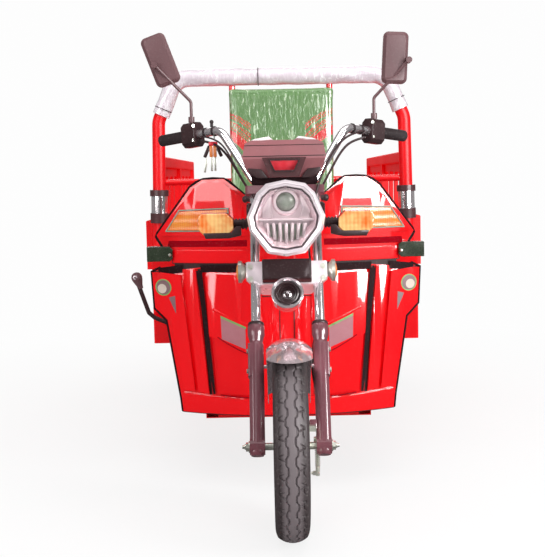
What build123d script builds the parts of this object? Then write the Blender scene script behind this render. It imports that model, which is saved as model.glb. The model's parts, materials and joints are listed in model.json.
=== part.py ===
from build123d import *
import os
from math import cos, radians, sin

os.makedirs("parts", exist_ok=True)

# An electric cargo tricycle, in millimetres. It faces -Y and stands on z = 0, with the origin under the
# middle of its bounding box. Stations are distances behind the front axle.

# Wheels
rim_seat_diameter = 304
rim_wall = 3
rim_flange_height = 13
bead_width_share = 0.7
front_tyre_section = 88
front_tyre_width = 86
rear_tyre_section = 93
rear_tyre_width = 95
wheelbase = 1985
rear_track = 794
fit_gap = 0.3
running_gap = 5

# Cargo bed
bed_front_station = 1190
bed_length = 1470
bed_width = 1000
bed_beam_height = 41.7
bed_floor_thickness = 6
bed_floor_step = 1.5
bed_sheet_height = 165
bed_side_height = 405
bed_wall = 14
tailgate_thickness = 25

# Frame
rail_centre = 230
rail_width = 40
rail_height = 60
rail_wall = 3
rail_over_tyre = 65
floor_frame_top = 240
seat_box_front_station = 800
seat_box_rear_station = 1070
seat_box_half_width = 437
seat_box_bottom = 385
seat_box_top = 690
sheet_wall = 3

# Steering
rake = 26
yoke_offset = 35
leg_centre = 85
leg_diameter = 39
stanchion_diameter = 27
lower_yoke_low = 432
lower_yoke_high = 498
upper_yoke_low = 700
upper_yoke_high = 725
bar_diameter = 25

# Worked out from the driving dimensions
front_tyre_diameter = rim_seat_diameter + 2 * front_tyre_section
rear_tyre_diameter = rim_seat_diameter + 2 * rear_tyre_section
rear_rail_top = rear_tyre_diameter + rail_over_tyre
bed_floor_bottom = rear_rail_top + fit_gap + bed_beam_height
bed_floor_top = bed_floor_bottom + bed_floor_thickness
bed_sheet_top = bed_floor_top + bed_sheet_height
bed_rail_top = bed_floor_top + bed_side_height
tail_station = bed_front_station + bed_length + running_gap + tailgate_thickness
front_axle_y = -(tail_station - front_tyre_diameter / 2) / 2
front_axle_z = front_tyre_diameter / 2
rear_axle_z = rear_tyre_diameter / 2
rear_wheel_centre = rear_track / 2
fork = Plane(
    origin=(0, front_axle_y, front_axle_z),
    x_dir=(1, 0, 0),
    z_dir=(0, sin(radians(rake)), cos(radians(rake))),
).location


def at(station):
    """The Y of a station behind the front axle."""
    return front_axle_y + station


def box(x, y, z):
    """A box between the two limits given for each axis."""
    middle = [(low + high) / 2 for low, high in (x, y, z)]
    size = [abs(high - low) for low, high in (x, y, z)]
    return Pos(*middle) * Box(*size)


def around(middle, size):
    """The two limits of a length that is centred on a place."""
    return (middle - size / 2, middle + size / 2)


def rod(start, end, diameter, bore=0):
    """A round bar between two points, hollow where it has a bore."""
    axis = Vector(*end) - Vector(*start)
    section = Circle(diameter / 2)
    if bore:
        section -= Circle(bore / 2)
    return extrude(Plane(origin=start, z_dir=axis) * section, amount=axis.length)


def bent_tube(points, bends, diameter, wall=0):
    """A round tube along straight runs joined by bends."""
    path = FilletPolyline(*points, radius=bends)
    section = Circle(diameter / 2)
    if wall:
        section -= Circle(diameter / 2 - wall)
    return sweep(Plane(origin=path @ 0, z_dir=path % 0) * section, path=path)


def outline(points):
    """A flat face from its corners, on the XY plane."""
    return make_face(Polyline(*points, close=True))


def front_prism(points, y_low, y_high):
    """A front view outline of (x, z) corners, carried from one Y to another."""
    return extrude(Plane.XZ.offset(-y_low) * outline(points), amount=-(y_high - y_low))


def side_prism(points, x_low, x_high):
    """A side view outline of (y, z) corners, carried from one X to another."""
    return extrude(Plane.YZ.offset(x_low) * outline(points), amount=x_high - x_low)


def both_ways(points):
    """An outline's corners from the top middle down one side, with the other side's added."""
    return points + [(-x, z) for x, z in reversed(points) if x > 0]


def both_sides(shape):
    """A shape and its mirror image on the other side."""
    return shape + mirror(shape, about=Plane.YZ)


def wheel_place(x, station, z):
    """Where a wheel's centre is."""
    return Pos(x, at(station), z)


# Tyre sections: shares of the half width, and of the height of the section above the rim seat
tyre_side_shares = ((bead_width_share, 0.16), (1.0, 0.48), (0.86, 0.84))


def tyre(diameter, width):
    """A tyre turned about X, round in the crown, with its beads on the rim seat."""
    seat = rim_seat_diameter / 2 + fit_gap
    height = diameter / 2 - seat
    low, widest, shoulder = [(x * width / 2, seat + z * height) for x, z in tyre_side_shares]
    bead = (low[0], seat)
    back = [(-x, z) for x, z in (bead, low, widest, shoulder)]
    edges = [
        Line(bead, low),
        ThreePointArc(low, widest, shoulder),
        ThreePointArc(shoulder, (0, diameter / 2), back[3]),
        ThreePointArc(back[3], back[2], back[1]),
        Line(back[1], back[0]),
        Line(back[0], bead),
    ]
    return revolve(make_face(edges), axis=Axis.X)


# Rims
hub_diameter = 62
hub_length = 88
front_axle_diameter = 14
stub_diameter = 25
disc_thickness = 4
disc_hole_count = 5
disc_hole_share = 0.16
disc_hole_circle_share = 0.36
drum_diameter = 138
drum_depth = 30
brake_plate_gap = 2


def rim(width, bore, hub_low, hub_high, drum_end):
    """A pressed steel wheel turned about X: flanged barrel, holed disc, hub and brake drum."""
    inside = rim_seat_diameter / 2 - rim_wall
    flange_top = rim_seat_diameter / 2 + rim_flange_height
    seat_half = bead_width_share * width / 2 + fit_gap
    edge_half = seat_half + rim_wall
    barrel = [
        (-edge_half, inside),
        (edge_half, inside),
        (edge_half, flange_top),
        (seat_half, flange_top),
        (seat_half, rim_seat_diameter / 2),
        (-seat_half, rim_seat_diameter / 2),
        (-seat_half, flange_top),
        (-edge_half, flange_top),
    ]
    wheel = revolve(outline(barrel), axis=Axis.X)
    disc = rod((-disc_thickness / 2, 0, 0), (disc_thickness / 2, 0, 0), 2 * inside + rim_wall)
    hole_circle = disc_hole_circle_share * rim_seat_diameter
    hole_size = disc_hole_share * rim_seat_diameter
    for number in range(disc_hole_count):
        turn = Rot(360 * number / disc_hole_count, 0, 0)
        hole_end = disc_thickness
        hole = rod((-hole_end, 0, hole_circle), (hole_end, 0, hole_circle), hole_size)
        disc -= turn * hole
    wheel += disc
    wheel += rod((hub_low, 0, 0), (hub_high, 0, 0), hub_diameter)
    wheel += rod((0, 0, 0), (drum_end, 0, 0), drum_diameter)
    reach = rim_seat_diameter
    return wheel - rod((-reach, 0, 0), (reach, 0, 0), bore)


# Front fork, in the fork's own frame: z runs up the legs from the axle, y runs back from them
leg_low = -24
leg_top = 325
leg_profile_shares = (
    (0.82, 0),
    (1, 0.02),
    (1, 0.84),
    (0.88, 0.865),
    (1.15, 0.92),
    (1.15, 0.985),
    (1.03, 1),
)
axle_lug_diameter = 42
leg_block_low = 183
leg_block_high = 272
leg_block_width = 44
leg_block_edge = 5
axle_half_length = 118
axle_nut_width = 24
axle_nut_thickness = 10
yoke_front = -24
yoke_back = 62
stem_diameter = 30
yoke_half_width = 110
yoke_corner_half_width = 70
yoke_corner_height = 22
yoke_edge = 8
yoke_plan_shares = ((1, 0), (1, 0.36), (0.58, 1))
bar_clamp_half_spacing = 42
bar_clamp_width = 28
bar_clamp_y = 20
bar_clamp_z = 746
bar_clamp_wall = 3
head_tube_diameter = 52
head_tube_gap = 6


def fork_legs():
    """The two lower legs, turned with a neck below the seal, with their mudguard blocks and axle lugs."""
    height = leg_top - leg_low
    side = [(r * leg_diameter / 2, leg_low + z * height) for r, z in leg_profile_shares]
    profile = [(0, leg_low)] + side + [(0, leg_top)]
    leg = Pos(leg_centre, 0, 0) * revolve(Plane.XZ * outline(profile), axis=Axis.Z)
    block_outer = leg_centre + leg_block_width / 2
    block_depth = around(0, leg_diameter - leg_block_edge)
    block = box((leg_centre, block_outer), block_depth, (leg_block_low, leg_block_high))
    leg += fillet(block.edges().filter_by(Axis.Z), leg_block_edge)
    lug_reach = leg_diameter / 2
    leg += rod((leg_centre - lug_reach, 0, 0), (leg_centre + lug_reach, 0, 0), axle_lug_diameter)
    legs = both_sides(leg)
    reach = 2 * leg_centre
    legs -= rod((-reach, 0, 0), (reach, 0, 0), front_axle_diameter + 2 * fit_gap)
    return fork * legs


def fork_tubes():
    """The two bright upper tubes, from the legs' seals to the top of the upper yoke."""
    tube = Pos(leg_centre, 0, 0) * rod((0, 0, leg_top), (0, 0, upper_yoke_high), stanchion_diameter)
    return fork * both_sides(tube)


def yoke_holes(low, high):
    """The holes that the upper tubes pass through."""
    margin = running_gap
    hole = Pos(leg_centre, 0, 0) * rod(
        (0, 0, low - margin), (0, 0, high + margin), stanchion_diameter + 2 * fit_gap
    )
    return both_sides(hole)


def yoke_plate(low, high):
    """A yoke's plate in plan: wide in front at the tubes, narrow behind at the stem."""
    depth = yoke_back - yoke_front
    corners = [(x * yoke_half_width, yoke_front + y * depth) for x, y in yoke_plan_shares]
    plate = extrude(outline(corners + [(-x, y) for x, y in reversed(corners)]), amount=high - low)
    return Pos(0, 0, low) * fillet(plate.edges().filter_by(Axis.Z), yoke_edge)


def lower_yoke():
    """The lower yoke with the steering stem in it."""
    top = [
        (yoke_half_width, lower_yoke_high),
        (yoke_half_width, lower_yoke_low + yoke_corner_height),
        (yoke_corner_half_width, lower_yoke_low),
    ]
    yoke = front_prism(both_ways(top), yoke_front, yoke_back) & yoke_plate(lower_yoke_low, lower_yoke_high)
    yoke -= yoke_holes(lower_yoke_low, lower_yoke_high)
    yoke += Pos(0, yoke_offset, 0) * rod((0, 0, lower_yoke_low), (0, 0, upper_yoke_high), stem_diameter)
    return fork * yoke


def upper_yoke():
    """The upper yoke, with the two clamps that hold the handlebar."""
    yoke = yoke_plate(upper_yoke_low, upper_yoke_high)
    yoke -= yoke_holes(upper_yoke_low, upper_yoke_high)
    hole = stem_diameter + 2 * fit_gap
    margin = running_gap
    yoke -= Pos(0, yoke_offset, 0) * rod(
        (0, 0, upper_yoke_low - margin), (0, 0, upper_yoke_high + margin), hole
    )
    clamp_size = bar_diameter + 2 * bar_clamp_wall
    clamp = box(
        around(bar_clamp_half_spacing, bar_clamp_width),
        around(bar_clamp_y, clamp_size),
        (upper_yoke_high, bar_clamp_z + clamp_size / 2),
    )
    crown = clamp.edges().filter_by(Axis.X).sort_by(Axis.Z)[-2:]
    yoke += both_sides(fillet(crown, clamp_size / 3))
    reach = 2 * bar_clamp_half_spacing
    start, end = (-reach, bar_clamp_y, bar_clamp_z), (reach, bar_clamp_y, bar_clamp_z)
    yoke -= rod(start, end, bar_diameter + 2 * fit_gap)
    return fork * yoke


def hex_nut(x_low, x_high, width, bore):
    """A hexagon nut across X."""
    nut = extrude(Plane.YZ.offset(x_low) * RegularPolygon(width / 2, 6), amount=x_high - x_low)
    return nut - rod((x_low - bore, 0, 0), (x_high + bore, 0, 0), bore)


def front_axle():
    """The front axle through both legs, with its end nuts."""
    axle = rod((-axle_half_length, 0, 0), (axle_half_length, 0, 0), front_axle_diameter)
    nut_seat = leg_centre + leg_diameter / 2
    nut = hex_nut(nut_seat, nut_seat + axle_nut_thickness, axle_nut_width, front_axle_diameter / 2)
    return wheel_place(0, 0, front_axle_z) * (axle + both_sides(nut))


# Front brake
brake_plate_diameter = 128
brake_plate_thickness = 7
brake_arm_width = 14
brake_arm_thickness = 6
brake_arm_back = 12
brake_arm_low = 84
brake_arm_high = 36


def front_brake_plate():
    """The still plate that closes the front drum, with its brake arm."""
    drum_end = disc_thickness / 2 + drum_depth
    x_low = drum_end + brake_plate_gap
    x_high = x_low + brake_plate_thickness
    hole = front_axle_diameter + 2 * fit_gap
    plate = rod((x_low, 0, 0), (x_high, 0, 0), brake_plate_diameter, hole)
    spacer_end = leg_centre - leg_diameter / 2 - fit_gap
    arm_x = (x_high, x_high + brake_arm_thickness)
    arm_y = brake_arm_back + hub_diameter / 2
    arm = box(arm_x, around(arm_y, brake_arm_width), (-brake_arm_low, brake_arm_high))
    plate += fillet(arm.edges().filter_by(Axis.X), brake_arm_width / 3)
    bridge = box((x_high, spacer_end), around(0, hole), around(hub_diameter / 2 + hole, hole))
    return wheel_place(0, 0, front_axle_z) * (plate + bridge)


# Handlebar: half of its route as (x, station, height) points
bar_foot_x = 78
bar_bend_x, bar_bend_station, bar_bend_rise = 180, 425, 822
bar_bend_z = front_axle_z + bar_bend_rise
bar_end_x, bar_end_station, bar_end_rise = 366, 581, 800
bar_end_z = front_axle_z + bar_end_rise
bar_bend_radius = 45
bar_wall = 2.5
grip_diameter = 34
grip_length = 104
switch_length = 52
switch_width = 46
switch_height = 72


def bar_foot():
    """The place where the bar crosses the clamps, as a station and a height."""
    foot = fork * Pos(0, bar_clamp_y, bar_clamp_z)
    return foot.position.Y, foot.position.Z


def bar_route():
    """The handlebar's centre line, from one end to the other."""
    foot_y, foot_z = bar_foot()
    points = [
        (bar_end_x, at(bar_end_station), bar_end_z),
        (bar_bend_x, at(bar_bend_station), bar_bend_z),
        (bar_foot_x, foot_y, foot_z),
    ]
    return points + [(-x, y, z) for x, y, z in reversed(points)]


def handlebar():
    """The swept chrome handlebar."""
    return bent_tube(bar_route(), bar_bend_radius, bar_diameter, bar_wall)


def bar_end_plane():
    """The frame of the bar's straight end: its z runs inwards along the bar from the end."""
    end = Vector(bar_end_x, at(bar_end_station), bar_end_z)
    bend = Vector(bar_bend_x, at(bar_bend_station), bar_bend_z)
    return Plane(origin=end, x_dir=(0, 0, 1), z_dir=bend - end).location


def grips():
    """The two rubber grips, open where the bar passes into them."""
    bore = bar_diameter + 2 * fit_gap
    grip = rod((0, 0, 0), (0, 0, grip_length), grip_diameter, bore)
    flange = rod((0, 0, grip_length - bar_wall), (0, 0, grip_length), grip_diameter + bar_wall * 4, bore)
    return both_sides(bar_end_plane() * (grip + flange))


def switches():
    """The two switch housings, clamped on the bar beside the grips."""
    low = grip_length + fit_gap
    body = box(around(0, switch_height), around(0, switch_width), (low, low + switch_length))
    body = chamfer(body.edges().filter_by(Axis.Z), switch_width / 4)
    margin = running_gap
    body -= rod((0, 0, low - margin), (0, 0, low + switch_length + margin), bar_diameter + 2 * fit_gap)
    return both_sides(bar_end_plane() * body)


# Mirrors
# Side, middle x, middle height, lean in degrees
mirror_table = ((-1, 354, 1271, 20), (1, 332, 1264, -3))
mirror_station = 480
mirror_width = 74
mirror_height = 150
mirror_depth = 22
mirror_corner = 16
mirror_back_edge = 9
mirror_glass_thickness = 3
mirror_glass_margin = 6
mirror_stem_diameter = 9
mirror_elbow_rise = 910
mirror_elbow_z = front_axle_z + mirror_elbow_rise
mirror_top_x = 370
mirror_top_rise = 1015
mirror_top_z = front_axle_z + mirror_top_rise
mirror_boss_diameter = 18
mirror_stem_bend = 14
mirror_foot_lift = 1.2


def mirror_shape(side, x, z, lean, width, height, y_low, y_high, corner):
    """A rounded slab that leans in the front view."""
    place = Plane(origin=(side * x, y_low, z), x_dir=(1, 0, 0), z_dir=(0, 1, 0)).location
    slab = extrude(RectangleRounded(width, height, corner), amount=y_high - y_low)
    return place * Rot(0, 0, -lean) * slab


def mirror_heads():
    """The mirror shells with their stems, which stand on the switch housings."""
    shapes = []
    front = at(mirror_station)
    foot = bar_end_plane() * Pos(switch_height / 2, 0, grip_length + switch_length / 2)
    foot_x, foot_y, foot_z = foot.position.X, foot.position.Y, foot.position.Z
    for side, x, z, lean in mirror_table:
        head = mirror_shape(
            side, x, z, lean, mirror_width, mirror_height, front, front + mirror_depth, mirror_corner
        )
        head = chamfer(head.faces().sort_by(Axis.Y)[0].edges(), mirror_back_edge)
        seat = mirror_shape(
            side,
            x,
            z,
            lean,
            mirror_width - 2 * mirror_glass_margin,
            mirror_height - 2 * mirror_glass_margin,
            front + mirror_depth - mirror_glass_thickness,
            front + mirror_depth + mirror_glass_thickness,
            mirror_corner - mirror_glass_margin,
        )
        stem_y = front - mirror_stem_diameter
        points = [
            (side * foot_x, foot_y, foot_z + mirror_foot_lift),
            (side * foot_x, foot_y, mirror_elbow_z),
            (side * mirror_top_x, stem_y, mirror_top_z),
        ]
        stem = bent_tube(points, mirror_stem_bend, mirror_stem_diameter)
        boss_start = (side * mirror_top_x, stem_y - mirror_stem_diameter, mirror_top_z)
        boss_end = (side * mirror_top_x, front + mirror_back_edge, mirror_top_z)
        boss = rod(boss_start, boss_end, mirror_boss_diameter)
        nut_end = (side * foot_x, foot_y, foot_z + mirror_boss_diameter)
        nut = rod(points[0], nut_end, mirror_boss_diameter)
        shapes.append(head - seat + stem + boss + nut)
    return shapes[0] + shapes[1]


def mirror_glasses():
    """The two mirror glasses, which face the rider."""
    back = at(mirror_station) + mirror_depth
    margin = mirror_glass_margin + fit_gap
    glasses = [
        mirror_shape(
            side,
            x,
            z,
            lean,
            mirror_width - 2 * margin,
            mirror_height - 2 * margin,
            back - mirror_glass_thickness + fit_gap,
            back,
            mirror_corner - margin,
        )
        for side, x, z, lean in mirror_table
    ]
    return glasses[0] + glasses[1]


# Headlamp, as front view corners from the top middle down one side
lamp_front_station = 60
lamp_centre_rise = 580
lamp_centre_z = front_axle_z + lamp_centre_rise
lamp_half_width = 101
lamp_height_up = 97
lamp_height_down = 100
lamp_face_shares = ((0, 1), (0.5, 0.9), (0.74, 0.66), (1, 0.04), (0.94, -0.32), (0.48, -0.92), (0, -1))
lamp_bevel_share = 0.93
lamp_bevel_depth = 14
lamp_rim_depth = 46
lamp_bucket_share = 0.78
lamp_bucket_depth = 84
lamp_bucket_end_share = 0.6
lamp_bucket_taper = 26
lamp_wall = 4
lens_share = 0.83
lens_depth = 10
lens_thickness = 3
projector_rise = 620
projector_z = front_axle_z + projector_rise
projector_diameter = 54
projector_depth = 30
fin_count = 6
fin_spacing = 17
fin_thickness = 5
fin_low_share = 0.6


def lamp_outline(share):
    """The headlamp's front view corners, at a share of its full size."""
    half = []
    for x, z in lamp_face_shares:
        height = lamp_height_up if z > 0 else lamp_height_down
        half.append((share * x * lamp_half_width, lamp_centre_z + share * z * height))
    return half + [(-x, z) for x, z in reversed(half) if x > 0]


def lamp_section(share, y):
    """The headlamp's outline as a face across Y."""
    return Plane.XZ.offset(-y) * outline(lamp_outline(share))


def headlamp_shell():
    """The bright shell of the headlamp: a deep bevelled rim and a tapered bucket, open in front."""
    front = at(lamp_front_station)
    bevel_back = front + lamp_bevel_depth
    rim_back = front + lamp_rim_depth
    back = rim_back + lamp_bucket_depth
    taper_front = back - lamp_bucket_taper
    shell = loft([lamp_section(lamp_bevel_share, front), lamp_section(1, bevel_back)])
    shell += front_prism(lamp_outline(1), bevel_back, rim_back)
    shell += front_prism(lamp_outline(lamp_bucket_share), rim_back, taper_front)
    shell += loft([lamp_section(lamp_bucket_share, taper_front), lamp_section(lamp_bucket_end_share, back)])
    shell -= front_prism(lamp_outline(lens_share), front - lens_depth, rim_back - lamp_wall)
    inner = lamp_bucket_share - lamp_wall / lamp_half_width
    return shell - front_prism(lamp_outline(inner), front, taper_front - lamp_wall)


def headlamp_lens():
    """The clear lens, dished like a shallow tray that opens backwards."""
    front = at(lamp_front_station)
    share = lens_share - fit_gap / lamp_half_width
    lens = front_prism(lamp_outline(share), front, front + lens_depth)
    hollow = share - lens_thickness / lamp_half_width
    return lens - front_prism(lamp_outline(hollow), front + lens_thickness, front + lens_depth + lamp_wall)


def headlamp_reflector():
    """The reflector plate with the round projector and the cross bar."""
    rim_back = at(lamp_front_station) + lamp_rim_depth
    share = lens_share - lamp_wall / lamp_half_width
    plate_front = rim_back - 2 * lamp_wall - fit_gap
    plate = front_prism(lamp_outline(share), plate_front, rim_back - lamp_wall - fit_gap)
    nose = plate_front - projector_depth / 2
    plate += rod((0, nose, projector_z), (0, plate_front, projector_z), projector_diameter)
    bar_reach = lamp_bucket_share * share * lamp_half_width
    bar_y = (nose, plate_front)
    plate += box((-bar_reach, bar_reach), bar_y, around(lamp_centre_z, lamp_wall))
    fin_low = lamp_centre_z - fin_low_share * lamp_height_down
    for number in range(fin_count):
        x = (number - (fin_count - 1) / 2) * fin_spacing
        plate += box(around(x, fin_thickness), bar_y, (fin_low, lamp_centre_z))
    return plate


# Headlamp bracket ears, on the upper tubes
ear_thickness = 4
ear_height = 60
ear_rise = 584
ear_z = front_axle_z + ear_rise


def headlamp_ears():
    """Two plates from the upper tubes to the headlamp's bucket."""
    bucket_side = lamp_bucket_share * lamp_half_width
    inner = leg_centre + stanchion_diameter / 2 + fit_gap
    tube = fork * Pos(leg_centre, 0, (ear_z - front_axle_z) / cos(radians(rake)))
    tube_y = tube.position.Y
    bucket_front = at(lamp_front_station) + lamp_rim_depth
    bucket_back = bucket_front + lamp_bucket_depth
    middle = (bucket_front + bucket_back) / 2
    ear_y = (middle - ear_height / 2, tube_y + ear_height / 2)
    ear = box((inner, inner + ear_thickness), ear_y, around(ear_z, ear_height))
    ear = fillet(ear.edges().filter_by(Axis.X), ear_height / 3)
    boss = rod((bucket_side + fit_gap, middle, ear_z), (inner, middle, ear_z), ear_height / 2)
    return both_sides(ear + boss)


# Turn signals on ribbed stalks, beside the headlamp
signal_station = 130
signal_inner_x = 138
signal_outer_x = 232
signal_rise = 562
signal_z = front_axle_z + signal_rise
signal_height = 60
signal_depth = 62
signal_lens_depth = 34
signal_cut_share = 0.3
stalk_diameter = 24
stalk_rib_diameter = 30
stalk_rib_count = 4
stalk_inner_x = 103
stalk_station = 165


def signal_block(y_low, y_high):
    """An eight sided block seen from the front."""
    x_middle = (signal_inner_x + signal_outer_x) / 2
    half_width = (signal_outer_x - signal_inner_x) / 2
    cut = signal_cut_share * signal_height
    half_height = signal_height / 2
    corners = [
        (x_middle - half_width, signal_z + half_height - cut),
        (x_middle - half_width + cut, signal_z + half_height),
        (x_middle + half_width - cut / 2, signal_z + half_height),
        (x_middle + half_width, signal_z + half_height - cut / 2),
        (x_middle + half_width, signal_z - half_height + cut),
        (x_middle + half_width - cut, signal_z - half_height),
        (x_middle - half_width + cut, signal_z - half_height),
        (x_middle - half_width, signal_z - half_height + cut),
    ]
    return front_prism(corners, y_low, y_high)


def signal_lenses():
    """The amber lenses of the two turn signals."""
    front = at(signal_station)
    return both_sides(signal_block(front, front + signal_lens_depth - fit_gap))


def signal_stalks():
    """The dark backs of the turn signals and their ribbed stalks."""
    front = at(signal_station)
    back = signal_block(front + signal_lens_depth, front + signal_depth)
    stalk_y = at(stalk_station)
    stalk_end = (signal_inner_x + stalk_diameter, stalk_y, signal_z)
    stalk = rod((stalk_inner_x, stalk_y, signal_z), stalk_end, stalk_diameter)
    step = (signal_inner_x - stalk_inner_x) / stalk_rib_count
    for number in range(stalk_rib_count):
        start = stalk_inner_x + number * step
        stalk += rod((start, stalk_y, signal_z), (start + step / 2, stalk_y, signal_z), stalk_rib_diameter)
    stalk -= signal_block(front, front + signal_lens_depth)
    return both_sides(back + stalk)


# Instrument housing
dash_front_station = 280
dash_back_station = 400
dash_half_width = 115
dash_low_rise = 683
dash_low = front_axle_z + dash_low_rise
dash_high_rise = 797
dash_high = front_axle_z + dash_high_rise
dash_face_shares = (
    (0, 0.9),
    (0.25, 0.9),
    (0.36, 1),
    (0.7, 0.94),
    (0.95, 0.82),
    (1, 0.5),
    (0.9, 0.12),
    (0.5, 0),
    (0, 0),
)
dash_side_shares = ((0.18, 0), (1, 0), (1, 0.55), (0.35, 1), (0.1, 0.9), (0, 0.45))
window_station = 280
window_low_rise = 703
window_low = front_axle_z + window_low_rise
window_high_rise = 729
window_high = front_axle_z + window_high_rise
window_half_width = 39
window_depth = 20


def dash_block(station_low, station_high):
    """The instrument housing: its front view outline crossed with its side view outline."""
    height = dash_high - dash_low
    face = [(x * dash_half_width, dash_low + z * height) for x, z in dash_face_shares]
    body = front_prism(both_ways(face), at(station_low), at(station_high))
    depth = dash_back_station - dash_front_station
    side = [(at(dash_front_station) + y * depth, dash_low + z * height) for y, z in dash_side_shares]
    return body & side_prism(side, -dash_half_width, dash_half_width)


def window_corners(margin):
    """The corners of the small window, a trapezoid with its short side below."""
    half = window_half_width + margin
    lower = half - (window_high - window_low) / 2
    low, high = window_low - margin, window_high + margin
    return [(half, high), (lower, low), (-lower, low), (-half, high)]


def instrument_housing():
    """The instrument housing above the handlebar, recessed for its front window."""
    body = dash_block(dash_front_station, dash_back_station)
    recess = front_prism(window_corners(fit_gap), at(window_station), at(window_station) + window_depth)
    return body - recess - bent_tube(bar_route(), bar_bend_radius, bar_diameter)


def instrument_window():
    """The small red window in the front of the instrument housing."""
    window_back = at(window_station) + window_depth - fit_gap
    window = front_prism(window_corners(0), at(window_station), window_back)
    return window & dash_block(dash_front_station, dash_back_station)


# Pieces on the lower yoke: plate block, horn and round reflectors, in the fork's frame
plate_half_width = 66
plate_height = 60
plate_depth = 30
plate_edge = 4
horn_diameter = 84
horn_depth = 40
horn_front = -72
horn_z = 390
horn_lip = 5
horn_cone_shares = ((0.84, 0.1), (0.4, 0.5), (0.26, 0.5), (0.22, 0.2), (0, 0.1))
horn_strap_width = 22
horn_strap_thickness = 4
reflector_diameter = 60
reflector_depth = 22
reflector_z = 478


def plate_block():
    """The bare dark block between the arms of the lower yoke."""
    low = (lower_yoke_low + lower_yoke_high - plate_height) / 2
    front = yoke_front - plate_depth
    block = box(around(0, 2 * plate_half_width), (front, yoke_front), (low, low + plate_height))
    return fork * chamfer(block.faces().sort_by(Axis.Y)[0].edges(), plate_edge)


def horn():
    """The round horn below the lower yoke, with the strap that carries it."""
    back = horn_front + horn_depth
    radius = horn_diameter / 2
    cone = [(r * radius, horn_front + y * horn_depth) for r, y in horn_cone_shares]
    rim_back = [(0, back), (radius - horn_lip, back), (radius, back - horn_lip)]
    rim_front = [(radius, horn_front + horn_lip), (radius - horn_lip, horn_front)]
    body = Pos(0, 0, horn_z) * revolve(outline(rim_back + rim_front + cone), axis=Axis.Y)
    strap = box(
        around(0, horn_strap_width),
        (back, back + horn_strap_thickness),
        (horn_z, lower_yoke_low),
    )
    strap += box(
        around(0, horn_strap_width),
        (back, horn_strap_width),
        (lower_yoke_low - horn_strap_thickness, lower_yoke_low),
    )
    return fork * (body + strap)


def fork_reflectors():
    """The two round amber reflectors in their backs, on the ends of the lower yoke."""
    start = yoke_half_width + fit_gap
    disc = rod((start, 0, reflector_z), (start + reflector_depth, 0, reflector_z), reflector_diameter)
    disc = chamfer(disc.edges().sort_by(Axis.X)[0], reflector_depth / 2)
    return fork * both_sides(disc)


# Front mudguard
guard_gap = 33
guard_half_width = 58
guard_depth = 72
guard_shoulder_depth = 26
guard_wall = 2
guard_front_angle = 55
guard_sweep = 105
# Where the front edge is cut level and where the cut behind it ends, as shares of the outer radius behind
# and above the axle
guard_cut_shares = ((-0.11, 0.865), (0.36, 0.545))
guard_stud_diameter = 10
guard_stud_inset = 8


def guard_section(inset):
    """Half of the mudguard's section, from the crown down one side, set in by a wall."""
    outer = front_tyre_diameter / 2 + guard_gap + guard_wall - inset
    side = guard_half_width - inset
    shoulder = front_tyre_diameter / 2 + guard_gap + guard_wall - guard_shoulder_depth
    low = shoulder + guard_shoulder_depth - guard_depth
    return (-side, low), (-side, shoulder), (0, outer), (side, shoulder), (side, low)


def front_mudguard():
    """The short round mudguard over the front tyre, with the studs that hold it to the legs."""
    outer, inner = guard_section(0), guard_section(guard_wall)
    edges = [
        Line(outer[0], outer[1]),
        ThreePointArc(*outer[1:4]),
        Line(outer[3], outer[4]),
        Line(outer[4], inner[4]),
        Line(inner[4], inner[3]),
        ThreePointArc(*reversed(inner[1:4])),
        Line(inner[1], inner[0]),
        Line(inner[0], outer[0]),
    ]
    guard = revolve(make_face(edges), axis=Axis.X, revolution_arc=guard_sweep)
    guard = Rot(180 - guard_front_angle - guard_sweep, 0, 0) * guard
    radius = front_tyre_diameter / 2 + guard_gap + guard_wall
    (lip_y, lip_z), (end_y, end_z) = [
        (at(y * radius), front_axle_z + z * radius) for y, z in guard_cut_shares
    ]
    front_y = at(-radius)
    cut = [(front_y, end_z), (front_y, lip_z), (lip_y, lip_z), (end_y, end_z)]
    placed = wheel_place(0, 0, front_axle_z) * guard
    placed -= side_prism(cut, -guard_half_width, guard_half_width)
    stud_end = leg_centre - leg_diameter / 2 - fit_gap
    stud_z = outer[0][1] + guard_stud_inset
    stud_start = (guard_half_width - guard_wall, 0, stud_z)
    stud = fork * rod(stud_start, (stud_end, 0, stud_z), guard_stud_diameter)
    return placed + both_sides(stud)


# Leg shield. Its sheets follow one arc in plan, and its outlines are shares of the half width across and
# of the height of the lower or of the upper shield
shield_front_station = 400
shield_side_station = 515
shield_side_x = 400
shield_reach_share = 1.1
shield_wall = 4
liner_wall = 3
edge_trim = 3
shield_low = 228
lower_shield_high = 671
band_low = 677
band_high = 718
upper_shield_high = 922
upper_shield_shares = (
    (0, 0.502),
    (0.155, 0.502),
    (0.288, 0.808),
    (0.438, 1),
    (0.6, 0.992),
    (0.688, 0.902),
    (0.96, 0.33),
    (0.898, 0.176),
    (0.838, 0.167),
    (0.838, 0),
    (0, 0),
)
crest_rise = 8
crest_shares = (
    (0.17, 0.33),
    (0.17, 0.475),
    (0.303, 0.772),
    (0.445, 0.96),
    (0.595, 0.952),
    (0.67, 0.873),
    (0.93, 0.345),
    (0.92, 0.33),
)
band_rise = 6
band_shares = ((-0.1, 0.012), (-0.1, 0.155), (0.825, 0.155), (0.825, 0.012))
lower_shield_shares = (
    (0, 1),
    (0.63, 0.985),
    (1.005, 0.944),
    (0.988, 0.704),
    (0.893, 0.625),
    (0.798, 0.095),
    (0.788, 0.005),
    (0.35, 0),
    (0, 0),
)
skirt_rise = 9
skirt_shares = ((-0.1, 0.11), (0.35, 0.11), (0.79, 0.14), (0.78, 0.015), (0.35, 0.008), (-0.1, 0.008))
door_rise = 6
door_shares = ((0.06, 0.94), (0.56, 0.955), (0.6, 0.93), (0.545, 0.14), (0.06, 0.13))
door_step_rise = 10
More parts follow.
